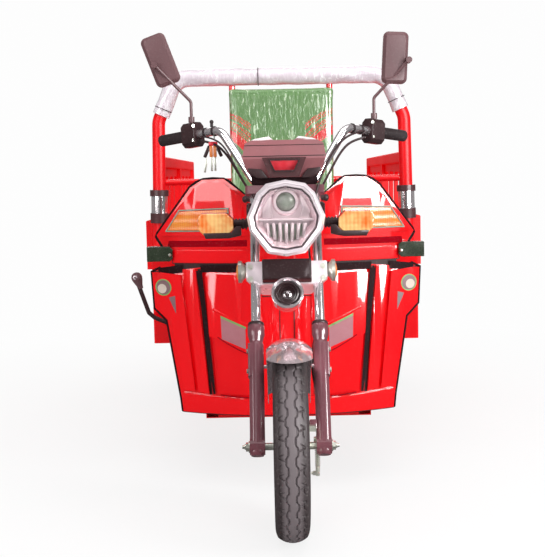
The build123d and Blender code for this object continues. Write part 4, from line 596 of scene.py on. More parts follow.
def new_piece(name, shape, body, slot, nodes=(), smooth=35, place=None, look=None, both=False):
    """Links a bmesh, or both it and its mirror image, as a piece with its body, slot, material and nodes."""
    if both:
        mirrored(shape)
    if place is not None:
        bmesh.ops.transform(shape, matrix=place, verts=shape.verts)
        bmesh.ops.recalc_face_normals(shape, faces=shape.faces)
    mesh = bpy.data.meshes.new(name)
    shape.to_mesh(mesh)
    shape.free()
    piece = bpy.data.objects.new(name, mesh)
    bpy.context.scene.collection.objects.link(piece)
    mesh.shade_smooth()
    mesh.set_sharp_from_angle(angle=radians(smooth))
    mesh.materials.clear()
    mesh.materials.append(finish(look or slot))
    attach(piece, body)
    if nodes:
        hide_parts(*nodes)
    return piece


def join_into(shape, part):
    """Adds one bmesh to another, and frees it."""
    mesh = bpy.data.meshes.new("part")
    part.to_mesh(mesh)
    part.free()
    shape.from_mesh(mesh)
    bpy.data.meshes.remove(mesh)


def round_edges(part, offset, segments=2):
    """Rounds every edge of a part."""
    bmesh.ops.bevel(
        part, geom=part.edges[:], offset=offset, affect="EDGES", segments=segments, profile=0.5, material=-1
    )


def carry_back(part, faces, depth):
    """Gives faces a depth behind them."""
    grown = bmesh.ops.extrude_face_region(part, geom=faces)
    moved = [item for item in grown["geom"] if isinstance(item, bmesh.types.BMVert)]
    bmesh.ops.translate(part, vec=(0, depth, 0), verts=moved)


def block(shape, low, high, edge=0.0, turn=Matrix(), segments=2):
    """A block between two corners, with its edges rounded and turned about its middle."""
    low, high = Vector(low), Vector(high)
    place = Matrix.Translation((low + high) / 2) @ turn @ Matrix.Diagonal((*(high - low), 1))
    part = bmesh.new()
    bmesh.ops.create_cube(part, size=1, matrix=place)
    if edge:
        round_edges(part, edge, segments)
    join_into(shape, part)


def aimed(start, end):
    """The matrix that puts z along the run between two points, centred on it."""
    start, end = Vector(start), Vector(end)
    return Matrix.Translation((start + end) / 2) @ (end - start).to_track_quat("Z", "Y").to_matrix().to_4x4()


def rod(shape, start, end, radius, tip=None, segments=20):
    """A round rod or cone between two points."""
    length = (Vector(end) - Vector(start)).length
    bmesh.ops.create_cone(
        shape,
        cap_ends=True,
        segments=segments,
        radius1=radius,
        radius2=radius if tip is None else tip,
        depth=length,
        matrix=aimed(start, end),
    )


def ball(shape, centre, radius, stretch=(1, 1, 1)):
    """A round ball, stretched along the axes."""
    place = Matrix.Translation(centre) @ Matrix.Diagonal((*stretch, 1))
    bmesh.ops.create_uvsphere(shape, u_segments=20, v_segments=12, radius=radius, matrix=place)


def turned(shape, profile, place, steps=40, ring=False):
    """A turned form about the z of a place, from pairs of radius and height. A ring's profile is closed."""
    part = bmesh.new()
    points = [part.verts.new((radius, 0, height)) for radius, height in profile]
    pairs = list(zip(points, points[1:])) + ([(points[-1], points[0])] if ring else [])
    edges = [part.edges.new(pair) for pair in pairs]
    bmesh.ops.spin(
        part, geom=points + edges, cent=(0, 0, 0), axis=(0, 0, 1), angle=2 * pi, steps=steps, use_merge=True
    )
    bmesh.ops.remove_doubles(part, verts=part.verts, dist=0.001)
    bmesh.ops.transform(part, matrix=place, verts=part.verts)
    join_into(shape, part)


def across_x(x, station, height):
    """A place whose z runs out along X, to turn a form about."""
    return Matrix.Translation((x, station, height)) @ Matrix.Rotation(pi / 2, 4, "Y")


def facing_front(x, station, height):
    """A place whose z runs forward, to turn a form that faces the front."""
    return Matrix.Translation((x, station, height)) @ Matrix.Rotation(pi / 2, 4, "X")


def front_plate(shape, corners, station, depth, edge=0.0):
    """A plate from front view corners, carried back from a station."""
    part = bmesh.new()
    face = part.faces.new([part.verts.new((x, station, z)) for x, z in corners])
    carry_back(part, [face], depth)
    if edge:
        round_edges(part, edge)
    join_into(shape, part)


def mirrored(shape):
    """Adds the mirror image of all that is in a shape."""
    copy = bmesh.ops.duplicate(shape, geom=shape.verts[:] + shape.edges[:] + shape.faces[:])["geom"]
    points = [item for item in copy if isinstance(item, bmesh.types.BMVert)]
    bmesh.ops.scale(shape, vec=(-1, 1, 1), verts=points)
    bmesh.ops.reverse_faces(shape, faces=[item for item in copy if isinstance(item, bmesh.types.BMFace)])


def merged_copy(node):
    """A bmesh of a CAD node with its loose triangles joined and its flat faces whole."""
    shape = bmesh.new()
    shape.from_mesh(frame["nodes"][node].data)
    bmesh.ops.remove_doubles(shape, verts=shape.verts, dist=0.02 * MM)
    bmesh.ops.dissolve_limit(
        shape, angle_limit=radians(0.6), verts=shape.verts, edges=shape.edges, use_dissolve_boundaries=False
    )
    return shape


def rounded_node(node, width):
    """A piece made from a CAD node, with its hard edges rounded."""
    piece = new_piece(
        f"{node}_finished", merged_copy(node), body_of_node(node), record_slots()[node], (node,), smooth=30
    )
    rounding = piece.modifiers.new("edges", "BEVEL")
    rounding.width = width
    rounding.segments = 2
    rounding.limit_method = "ANGLE"
    rounding.angle_limit = radians(40)
    rounding.harden_normals = True
    return piece


def cable(name, points, diameter, body, slot):
    """A bent round piece along a smooth line through millimetre points of the vehicle's frame."""
    data = bpy.data.curves.new(name, "CURVE")
    data.dimensions = "3D"
    data.bevel_depth = diameter / 2 * MM
    data.bevel_resolution = 3
    data.resolution_u = 8
    data.use_fill_caps = True
    spline = data.splines.new("NURBS")
    spline.points.add(len(points) - 1)
    for point, place in zip(spline.points, points):
        point.co = (*(VEHICLE @ Vector(place)), 1)
    spline.order_u = 3
    spline.use_endpoint_u = True
    curve = bpy.data.objects.new(name + "_line", data)
    mesh = bpy.data.meshes.new_from_object(curve)
    bpy.data.objects.remove(curve)
    shape = bmesh.new()
    shape.from_mesh(mesh)
    bpy.data.meshes.remove(mesh)
    bpy.data.curves.remove(data)
    return new_piece(name, shape, body, slot, smooth=50)


def run_operator(bl_class):
    """Calls an operator of this add-on by its class."""
    group, name = bl_class.bl_idname.split(".")
    getattr(getattr(bpy.ops, group), name)()


# Shares of a tyre's half width and of its section's height, at the bead, the widest place and the shoulder
TYRE_SHARES = ((0.7, 0.16), (1.0, 0.48), (0.86, 0.84))
RIM_SEAT_RADIUS = 152.3
# Node, body, width, diameter, tread pitches round the tyre, steps to a pitch
TYRES = (
    ("front_tyre", "front_wheel", 86, 480, 32, 20),
    ("rear_tyre_left", "rear_wheel_left", 95, 490, 32, 14),
    ("rear_tyre_right", "rear_wheel_right", 95, 490, 32, 14),
)


def arc_through(first, middle, last, steps):
    """Points along the arc through three points, with both ends."""
    (ax, ay), (bx, by), (cx, cy) = first, middle, last
    d = 2 * (ax * (by - cy) + bx * (cy - ay) + cx * (ay - by))
    a2, b2, c2 = ax * ax + ay * ay, bx * bx + by * by, cx * cx + cy * cy
    ox = (a2 * (by - cy) + b2 * (cy - ay) + c2 * (ay - by)) / d
    oy = (a2 * (cx - bx) + b2 * (ax - cx) + c2 * (bx - ax)) / d
    radius = sqrt((ax - ox) ** 2 + (ay - oy) ** 2)
    start, end = atan2(ay - oy, ax - ox), atan2(cy - oy, cx - ox)
    through = atan2(by - oy, bx - ox)
    while end < start:
        end += 2 * pi
    while through < start:
        through += 2 * pi
    if through > end:
        end -= 2 * pi
    turns = [start + (end - start) * step / steps for step in range(steps + 1)]
    return [(ox + radius * cos(turn), oy + radius * sin(turn)) for turn in turns]


def tyre_profile(width, diameter):
    """The closed outline of a tyre's section, as pairs of radius and side, with a fine crown."""
    height = diameter / 2 - RIM_SEAT_RADIUS
    low, widest, shoulder = [(x * width / 2, RIM_SEAT_RADIUS + z * height) for x, z in TYRE_SHARES]
    wall = arc_through(low, widest, shoulder, 9)
    crown = arc_through(shoulder, (0, diameter / 2), (-shoulder[0], shoulder[1]), 60)
    far_wall = [(-x, z) for x, z in reversed(wall)]
    outline = wall[:-1] + crown + far_wall[1:]
    bead = low[0]
    return [(z, x) for x, z in [(bead, RIM_SEAT_RADIUS)] + outline + [(-bead, RIM_SEAT_RADIUS)]]


def ramp(value, low, high):
    """How far a value is from low to high, held between 0 and 1."""
    return min(1.0, max(0.0, (value - low) / (high - low)))


def tread_depth(x, phase, half_width, groove):
    """How deep the tread is cut at a side distance and a share of one pitch."""
    reach = abs(x)
    if reach > 0.95 * half_width:
        return 0.0
    side = 1 if x > 0 else -1
    wander = 2.6 * min(1.0, max(-1.0, 2.4 * sin(2 * pi * (phase + 0.25 * side))))
    main = 1 - ramp(abs(reach - 11.5 - wander), 1.5, 2.6)
    cross = (phase + 0.010 * (reach - 14) + (0.5 if side > 0 else 0)) % 1
    long_cut = (1 - ramp(abs(cross - 0.5) * 47, 1.2, 2.4)) * ramp(reach, 12, 14)
    short = (phase - 0.012 * (reach - 20) + (0.5 if side > 0 else 0)) % 1
    hook = (1 - ramp(abs(short - 0.12) * 47, 0.8, 1.8)) * ramp(reach, 19, 21) * (1 - ramp(reach, 30, 33))
    edge = (1 - ramp(abs(reach - 29 + wander), 0.8, 1.6)) * 0.5 * ramp(abs(phase - 0.5), 0.12, 0.2)
    worn = 1 - ramp(reach, 0.80 * half_width, 0.95 * half_width)
    return groove * max(main, 0.8 * long_cut * worn, 0.6 * hook, edge * worn)


def make_tyre(node, body, width, diameter, pitches, steps):
    """One tyre: its section spun round the axle, and its tread cut into the crown."""
    part = bmesh.new()
    turned(part, tyre_profile(width, diameter), Matrix(), steps=pitches * steps, ring=True)
    crown_low = RIM_SEAT_RADIUS + TYRE_SHARES[2][1] * (diameter / 2 - RIM_SEAT_RADIUS) - 2
    groove = size("groove")
    for point in part.verts:
        radius = sqrt(point.co.x**2 + point.co.y**2)
        if radius < crown_low:
            continue
        phase = (atan2(point.co.y, point.co.x) / (2 * pi) * pitches) % 1
        cut = tread_depth(point.co.z, phase, TYRE_SHARES[2][0] * width / 2, groove)
        point.co.x *= (radius - cut) / radius
        point.co.y *= (radius - cut) / radius
    axle = next(joint for joint in frame["joints"] if joint["child"] == body)["pos_m"]
    place = Matrix.Translation(axle) @ Matrix.Rotation(pi / 2, 4, "Y") @ Matrix.Scale(MM, 4)
    new_piece(f"{node}_treaded", part, body, "tyre", (node,), smooth=40, place=place)


class TRICYCLE_OT_tyres(bpy.types.Operator):
    """Make the three treaded tyres"""

    bl_idname = "tricycle.tyres"
    bl_label = "Tyres"

    def execute(self, context):
        for row in TYRES:
            make_tyre(*row)
        return {"FINISHED"}


class TRICYCLE_OT_carried_nodes(bpy.types.Operator):
    """Give every CAD node the material of its slot"""

    bl_idname = "tricycle.carried_nodes"
    bl_label = "Carried nodes"

    def execute(self, context):
        for node, slot in record_slots().items():
            mesh = frame["nodes"][node].data
            mesh.materials.clear()
            mesh.materials.append(finish(LOOKS.get(node, slot)))
        return {"FINISHED"}


# Rounding of each dressed CAD piece, in millimetres
ROUNDED = {
    "seat_box": 3.0,
    "chassis": 1.5,
    "floor_tray": 1.0,
    "bed_floor": 1.0,
    "bed_side_left": 2.0,
    "bed_side_right": 2.0,
    "bed_front_panel": 2.0,
    "tailgate": 2.0,
    "tail_lamps": 3.0,
    "instrument_housing": 5.0,
    "switch_housings": 3.0,
    "plate_block": 4.0,
    "lower_yoke": 5.0,
    "upper_yoke": 3.0,
    "side_markers": 3.0,
    "signal_lenses": 4.0,
    "signal_stalks": 2.0,
    "headlamp_shell": 3.0,
    "headlamp_ears": 1.0,
    "shield_lamps": 2.0,
    "fork_legs": 1.5,
    "mirror_shells": 3.0,
    "battery_pack": 4.0,
    "upper_shield": 2.0,
    "lower_shield": 2.0,
    "backrest_frame": 1.0,
    "parking_lever": 2.0,
}
LOOKS = {
    "signal_lenses": "bright_amber",
    "instrument_housing": "pod_plastic",
    "mirror_shells": "mirror_plastic",
    "plate_block": "black_plastic",
    "front_mudguard": "guard_chrome",
    "seat_arch": "arch_paint",
    "bed_floor": "bed_paint",
    "fork_reflectors": "steel",
    "bed_side_left": "bed_paint",
    "bed_side_right": "bed_paint",
    "bed_front_panel": "bed_paint",
    "tailgate": "bed_paint",
    "side_markers": "marker_black",
    "parking_lever": "black_plastic",
}


class TRICYCLE_OT_rounded_nodes(bpy.types.Operator):
    """Round the hard edges of the pressed and moulded pieces"""

    bl_idname = "tricycle.rounded_nodes"
    bl_label = "Rounded pieces"

    def execute(self, context):
        for node, width in ROUNDED.items():
            piece = rounded_node(node, width * MM)
            if node in LOOKS:
                piece.data.materials[0] = finish(LOOKS[node])
        return {"FINISHED"}


# Headlamp
LAMP_CENTRE = 820
LAMP_HALF = 101
LAMP_UP, LAMP_DOWN = 97, 100
LAMP_SHARES = ((0, 1), (0.5, 0.9), (0.74, 0.66), (1, 0.04), (0.94, -0.32), (0.48, -0.92), (0, -1))
LAMP_FRONT = 60
PROJECTOR_HEIGHT = 860
DIVIDER_HEIGHT = 814


def lamp_corners(share):
    """The headlamp's front view corners, at a share of its full size."""
    half = [
        (share * x * LAMP_HALF, LAMP_CENTRE + share * z * (LAMP_UP if z > 0 else LAMP_DOWN))
        for x, z in LAMP_SHARES
    ]
    return half + [(-x, z) for x, z in reversed(half[:-1]) if x > 0]


def lamp_ring(shape, outer, inner, front, back):
    """A sloping wall between two of the headlamp's outlines, with a thickness."""
    part = bmesh.new()
    rows = []
    for share, station in ((outer, front), (inner, back)):
        points = [part.verts.new((x, station, z)) for x, z in lamp_corners(share)]
        rows.append([part.edges.new(pair) for pair in zip(points, points[1:] + points[:1])])
    bmesh.ops.bridge_loops(part, edges=rows[0] + rows[1])
    bmesh.ops.solidify(part, geom=part.faces[:], thickness=1.2)
    join_into(shape, part)


class TRICYCLE_OT_headlamp(bpy.types.Operator):
    """Make the headlamp's inside, its bulb glass and the dark plates painted as shade between its fins, its bezel
    and its side knobs
    """

    bl_idname = "tricycle.headlamp"
    bl_label = "Headlamp"

    def execute(self, context):
        inside = bmesh.new()
        lamp_ring(inside, 0.79, 0.64, LAMP_FRONT + 14, LAMP_FRONT + 37)
        front_plate(inside, lamp_corners(0.66), LAMP_FRONT + 37, 3)
        # The upper chamber's stepped cheeks and the ring round the projector
        cheek = ((34, 818), (60, 818), (62, 838), (46, 872), (36, 880), (40, 850))
        for side in (-1, 1):
            front_plate(inside, [(side * x, z) for x, z in cheek], LAMP_FRONT + 26, 12, 2)
        ring = [(25, -8), (31, -8), (35, 2), (38, 14), (33, 14), (27, 2)]
        place = facing_front(0, LAMP_FRONT + 30, PROJECTOR_HEIGHT) @ Matrix.Rotation(pi, 4, "X")
        turned(inside, ring, place, ring=True)
        low, high = (-70, LAMP_FRONT + 14, DIVIDER_HEIGHT - 3), (70, LAMP_FRONT + 38, DIVIDER_HEIGHT + 3)
        block(inside, low, high, 1.5)
        # The lower chamber's fan of upright fins
        for number in range(7):
            x = (number - 3) * 15.5
            high = DIVIDER_HEIGHT - 8
            low = DIVIDER_HEIGHT - 62 + 5 * abs(number - 3)
            lean = Matrix.Rotation(radians(2.5 * (number - 3)), 4, "Y")
            block(inside, (x - 4, LAMP_FRONT + 22, low), (x + 4, LAMP_FRONT + 38, high), 3.2, lean)
        new_piece("headlamp_inside", inside, "steering", "reflector", ("headlamp_reflector",), place=VEHICLE)

        bulb = bmesh.new()
        dome = [(0, 15), (8, 14.2), (15, 11.5), (21, 7), (25, 0), (25, -8), (0, -8)]
        turned(bulb, dome, facing_front(0, LAMP_FRONT + 28, PROJECTOR_HEIGHT))
        # Dark plates between the lower fins: painted shade in the slots between them
        for number in range(6):
            x = (number - 2.5) * 15.5
            front_plate(
                bulb,
                [(x - 3, DIVIDER_HEIGHT - 12), (x + 3, DIVIDER_HEIGHT - 12), (x + 2.4, 762), (x - 2.4, 762)],
                LAMP_FRONT + 34,
                3,
            )
        new_piece("headlamp_bulb_and_slot_shade", bulb, "steering", "reflector", place=VEHICLE, look="bulb_glass_and_slot_shade")

        bezel = bmesh.new()
        lamp_ring(bezel, 0.925, 0.845, LAMP_FRONT - 0.6, LAMP_FRONT + 3)
        new_piece("headlamp_bezel", bezel, "steering", "silver_shell", place=VEHICLE)

        knobs = bmesh.new()
        for side in (-1, 1):
            start = (side * 93, 128, 868)
            rod(knobs, start, (side * 104, 128, 868), 7)
            ball(knobs, (side * 106, 128, 868), 9.5, (0.8, 1, 1))
        new_piece("headlamp_knobs", knobs, "steering", "black_plastic", place=VEHICLE)
        return {"FINISHED"}


# Piece, slot, station, depth, then the right top and foot of the outer and of the inner outline
WINDOW_FRAMES = (
    ("window_frame", "black_plastic", 276, 16, ((44, 974), (28, 938)), ((39.4, 970), (25.6, 942))),
    ("window_surround", "dark_plastic", 278.6, 24, ((61, 978), (41, 925)), ((44, 974), (28, 938))),
)


class TRICYCLE_OT_instrument(bpy.types.Operator):
    """Make the instrument's window frame, its surround and the housing's seams"""

    bl_idname = "tricycle.instrument"
    bl_label = "Instrument housing"

    def execute(self, context):
        for name, slot, station, depth, *outlines in WINDOW_FRAMES:
            bars = bmesh.new()
            loops = []
            for (top_side, top), (foot_side, foot) in outlines:
                corners = ((top_side, top), (foot_side, foot), (-foot_side, foot), (-top_side, top))
                points = [bars.verts.new((x, station, z)) for x, z in corners]
                loops += [bars.edges.new(pair) for pair in zip(points, points[1:] + points[:1])]
            bmesh.ops.bridge_loops(bars, edges=loops)
            carry_back(bars, bars.faces[:], depth)
            new_piece(name, bars, "steering", slot, place=VEHICLE)

        seams = bmesh.new()
        for front, low, high, half in ((281.0, 980.4, 983.0, 113.8), (287.6, 1010.8, 1012.6, 109.8)):
            block(seams, (-half, front, low), (half, front + 80, high), 0.6)
        for side in (-1, 1):
            corners = [(side * x, z) for x, z in ((64, 946), (103, 950), (94, 932), (74, 921), (46, 921))]
            front_plate(seams, corners, 289, 30, 2)
        new_piece("instrument_seams", seams, "steering", "black_plastic", place=VEHICLE)
        return {"FINISHED"}


# Fork fittings in the fork's own frame
LEG_SIDE = 85


class TRICYCLE_OT_fork_fittings(bpy.types.Operator):
    """Make the fork's seals and bolts, the horn's face, the brake stop and the round reflectors"""

    bl_idname = "tricycle.fork_fittings"
    bl_label = "Fork fittings"

    def execute(self, context):
        seals = bmesh.new()
        cap = [(14, 0), (21.5, 0), (22, 3), (20, 8), (16, 10), (14, 10)]
        turned(seals, cap, Matrix.Translation((LEG_SIDE, 0, 324)), ring=True)
        new_piece("fork_seals", seals, "steering", "black_plastic", place=FORK, both=True)

        bolts = bmesh.new()
        for height in (200, 255):
            rod(bolts, (LEG_SIDE + 21, 0, height), (LEG_SIDE + 26, 0, height), 6.5, segments=6)
        for height in (448, 482):
            rod(bolts, (98, -20, height), (98, -27, height), 6, segments=6)
            rod(bolts, (98, -23, height), (98, -25, height), 8)
        rod(bolts, (66.5, 0, 0), (43.5, 0, 0), 9.5)
        rod(bolts, (105, 0, 0), (107.5, 0, 0), 15)
        rod(bolts, (115, 0, 0), (124, 0, 0), 5.5, 4.5)
        new_piece("fork_bolts", bolts, "steering", "steel", place=FORK, both=True)

        horn = bmesh.new()
        face = facing_front(0, -70, 390)
        for radius, height in ((30, 1), (24, -3), (18, -8)):
            loop = [(radius, height), (radius - 3, height + 1.5), (radius - 6, height - 6)]
            turned(horn, loop, face, ring=True)
        turned(horn, [(0, 0), (7, -1), (9, -8), (9, -14), (0, -14)], face)
        new_piece("horn_rings", horn, "steering", "black_plastic", place=FORK)
        button = bmesh.new()
        turned(button, [(0, 4), (3, 3.2), (4.6, 0), (4.6, -3), (0, -3)], face)
        rim = [(42.6, -4), (43.4, 0), (42, 4), (37, 5), (34, 1), (35, -3)]
        turned(button, rim, face, ring=True)
        new_piece("horn_rim", button, "steering", "chrome", place=FORK)

        lug = bmesh.new()
        block(lug, (49, -14, 40), (68, 14, 66), 3)
        new_piece("brake_stop", lug, "steering", "maroon_paint", place=FORK)

        discs = bmesh.new()
        dome = [(0, 28), (11, 26.5), (19, 24), (22, 21), (22, 14), (0, 14)]
        turned(discs, dome, across_x(110, 0, 478))
        new_piece("reflector_lenses", discs, "steering", "amber", place=FORK, both=True)
        cups = bmesh.new()
        cup = [(0, 1), (16, 1), (24, 8), (30, 12), (30, 21), (27.4, 21), (27.4, 13), (0, 13)]
        turned(cups, cup, across_x(110, 0, 478))
        new_piece(
            "reflector_cups", cups, "steering", "amber", ("fork_reflectors",),
            place=FORK, look="steel", both=True,
        )
        return {"FINISHED"}


# Routes of the cables, as side, station and height
BRAKE_CABLE = (
    (69, 43, 250), (70, 44, 300), (74, 60, 352), (60, 118, 410), (66, 158, 470), (84, 196, 560),
    (70, 236, 660), (60, 250, 740), (74, 262, 830), (100, 300, 930), (150, 372, 1010), (196, 420, 1046),
    (236, 452, 1052),
)
CLUTCH_CABLE = (
    (-236, 452, 1046), (-205, 432, 1040), (-172, 408, 1018), (-140, 372, 960), (-112, 330, 908),
    (-84, 280, 870), (-66, 250, 800), (-54, 244, 720),
)
SWITCH_CABLE = (
    (-240, 462, 1034), (-200, 440, 1026), (-166, 414, 996), (-132, 372, 940), (-100, 318, 886),
    (-60, 262, 846),
)


class TRICYCLE_OT_brake_linkage(bpy.types.Operator):
    """Make the front brake's link, barrel, spring and cable"""

    bl_idname = "tricycle.brake_linkage"
    bl_label = "Front brake linkage"

    def execute(self, context):
        link = bmesh.new()
        rod(link, (56, 43, 156), (67, 43, 156), 6, segments=6)
        rod(link, (52, 43, 156), (70, 43, 156), 3.5)
        rod(link, (69, 43, 158), (69, 43, 252), 2.4)
        rod(link, (69, 43, 160), (69, 43, 172), 6.5, segments=6)
        rod(link, (69, 43, 149), (69, 43, 157), 5)
        for number in range(9):
            height = 176 + 5 * number
            loop = [(6.2, -1), (7.4, 0), (6.2, 1), (5.2, 0)]
            turned(link, loop, Matrix.Translation((69, 43, height)), steps=16, ring=True)
        block(link, (60, 36, 236), (78, 50, 252), 3)
        new_piece("brake_link", link, "steering", "steel", place=VEHICLE)
        cable("brake_cable", BRAKE_CABLE, size("cable"), "steering", "black_plastic")
        return {"FINISHED"}


# Piece, diameter and route of the cables along the bars
BAR_CABLES = (
    ("clutch_cable", 5.0, CLUTCH_CABLE),
    ("switch_cable_left", 7.0, SWITCH_CABLE),
    ("switch_cable_right", 7.0, [(-x, station, height) for x, station, height in SWITCH_CABLE]),
)


class TRICYCLE_OT_bar_fittings(bpy.types.Operator):
    """Make the handlebar's cables, bands, knob and hanging keys"""

    bl_idname = "tricycle.bar_fittings"
    bl_label = "Bar fittings"

    def execute(self, context):
        for name, thickness, points in BAR_CABLES:
            cable(name, points, thickness, "steering", "black_plastic")
        bands = bmesh.new()
        for side in (-1, 1):
            for share in (0.10, 0.24):
                x = 180 + share * 186
                station, height = 425 + share * 156, 1062 - share * 22
                place = Matrix.Translation((side * x, station, height)) @ Vector(
                    (side * 186, 156, -22)
                ).to_track_quat("Z", "Y").to_matrix().to_4x4()
                turned(bands, [(12.6, -3), (14.6, -3), (14.6, 3), (12.6, 3)], place, ring=True)
        rod(bands, (-207, 447, 1072), (-207, 447, 1084), 4.5)
        ball(bands, (-207, 447, 1087), 6)
        new_piece("bar_bands", bands, "steering", "rubber", place=VEHICLE)

        screws = bmesh.new()
        for side in (-1, 1):
            for height in (1036, 1078):
                rod(screws, (side * 264, 470, height), (side * 262, 466, height), 4.5)
        new_piece("switch_screws", screws, "steering", "steel", place=VEHICLE)

        ring = bmesh.new()
        hoop = Matrix.Translation((-200, 440, 1046)) @ Matrix.Rotation(pi / 2, 4, "Y")
        turned(ring, [(11 + cos(a) * 1.1, sin(a) * 1.1) for a in (0, 1.6, 3.1, 4.7)], hoop, ring=True)
        blades = ((-221, -12, 983), (-209, 0, 987), (-199, 0, 987))
        for x, lean, top in blades:
            turn = Matrix.Rotation(radians(-lean), 4, "Y")
            block(ring, (x - 3 + lean * 0.4, 439, top - 42), (x + 3 + lean * 0.4, 441.4, top), 0.6, turn)
        new_piece("keys", ring, "steering", "steel", place=VEHICLE)
        heads = bmesh.new()
        for x in (-210, -199):
            block(heads, (x - 5, 436, 985), (x + 5, 444, 1018), 2.5)
        new_piece("key_heads", heads, "steering", "amber", place=VEHICLE, look="key_head")
        tag = bmesh.new()
        block(tag, (-217, 437, 1018), (-191, 443, 1030), 3)
        new_piece("key_tag", tag, "steering", "red_plastic", place=VEHICLE, look="tag")
        fobs = bmesh.new()
        block(fobs, (-227, 437, 983), (-217, 443, 1020), 3, Matrix.Rotation(radians(24), 4, "Y"))
        block(fobs, (-192, 437, 985), (-182, 443, 1020), 3, Matrix.Rotation(radians(-24), 4, "Y"))
        new_piece("key_fobs", fobs, "steering", "black_plastic", place=VEHICLE)
        return {"FINISHED"}


# The shield's arc in plan, as the stations of its middle and of its sides
SHIELD_FRONT, SHIELD_SIDE, SHIELD_HALF = 400, 515, 400


def shield_station(x):
    """The station of the shield's front face at a side distance."""
    depth = SHIELD_SIDE - SHIELD_FRONT
    radius = (SHIELD_HALF**2 + depth**2) / (2 * depth)
    return SHIELD_FRONT + radius - sqrt(radius**2 - x**2)


def shield_patch(shape, corners, lift, thickness):
    """A thin patch that follows the shield's arc, from front view corners, lifted off its face."""
    part = bmesh.new()
    part.faces.new([part.verts.new((x, 0, z)) for x, z in corners])
    low, high = min(x for x, _ in corners), max(x for x, _ in corners)
    for cut in range(int(low // 18) + 1, int(high // 18) + 1):
        everything = part.verts[:] + part.edges[:] + part.faces[:]
        bmesh.ops.bisect_plane(part, geom=everything, plane_co=(18 * cut, 0, 0), plane_no=(1, 0, 0))
    grown = bmesh.ops.extrude_face_region(part, geom=part.faces[:])
    moved = [item for item in grown["geom"] if isinstance(item, bmesh.types.BMVert)]
    bmesh.ops.translate(part, vec=(0, thickness, 0), verts=moved)
    for point in part.verts:
        point.co.y += shield_station(point.co.x) - lift
    join_into(shape, part)


def circle_points(x, z, radius):
    """Front view corners of a circle."""
    return [(x + radius * cos(step * pi / 16), z + radius * sin(step * pi / 16)) for step in range(32)]


# Side and height of the middle of the round badge, and of its pale disc
BADGE = (366, 604)
PALE_DISC = (370, 600)
# Piece, slot, look and thickness of the patches on the shield's right half, with each one's corners and rise
SHIELD_PATCHES = (
    # Black patches painted as the shade in the recesses over the door panels and along the slot by the rib
    (
        "shield_recess_shades",
        "black_plastic",
        "seal_and_shade_black",
        1.0,
        (
            (((28, 650), (250, 650), (252, 672), (28, 672)), 1.2),
            (((306, 648), (378, 640), (384, 660), (306, 672)), 1.2),
            (((222, 290), (264, 655), (246, 655), (215, 290)), 10.8),
        ),
    ),
    (
        "shield_decals",
        "silver_shell",
        "decal",
        0.5,
        ((((122, 486), (122, 426), (192, 455), (194, 519)), 10.6),),
    ),
    (
        "decal_edges",
        "silver_shell",
        "decal_green",
        0.5,
        ((((120, 491), (120, 485), (194, 517), (194, 524)), 10.8), (circle_points(*BADGE, 25), 12.6)),
    ),
    (
        "dark_decals",
        "silver_shell",
        "decal_dark",
        0.5,
        ((circle_points(*BADGE, 21.5), 12.9), (((350, 574), (330, 580), (328, 526)), 12.6)),
    ),
    ("bare_badges", "silver_shell", "badge_pale", 0.5, ((circle_points(*PALE_DISC, 14), 13.2),)),
)
# A dark red band painted as the shade in the groove under the upper shield's lamps
GROOVE_SHADE = ((112, 726), (350, 724), (345, 742), (112, 744))
# Corners of the rubber edging of the upper and of the lower shield, with its radius
TRIMS = (
    (
        (
            (64, 801), (116, 877), (148, 905), (160, 916), (175, 923), (208, 925), (236, 923), (258, 915),
            (278, 900), (382, 766), (387, 754), (382, 744), (362, 716),
        ),
        2.8,
    ),
    (((376, 662), (404, 648), (398, 538), (360, 502), (322, 270), (318, 232)), 3.4),
)
# Thin dark lines painted as shade in the creases of the middle panel: under its raised wedge and along its foot
CREASE_SHADES = (((204, 460), (179, 444), (145, 425), (111, 410)), ((200, 288), (160, 284), (100, 281)))
# Corners of the thin frame round the right shield lamp, back to the first
LAMP_EDGE = ((352, 771), (310, 832), (164, 837), (163, 772), (352, 771))
# The pressed ridge over each decal, as side and height of its ends, and its radius
RIDGE = ((214, 541), (108, 494), 5)
# Side and height of the shield's screw, and the rise of the panel under it
SHIELD_SCREW = (372, 702, 14)


def shield_line(shape, line, radius, rise, steps=8, joined=True):
    """Rods along a line of side and height that lies on the shield, joined by a ball at each corner."""
    points = [(x, shield_station(x) - rise, z) for x, z in line]
    for point, following in zip(points, points[1:]):
        rod(shape, point, following, radius, segments=steps)
        if joined:
            ball(shape, following, radius)


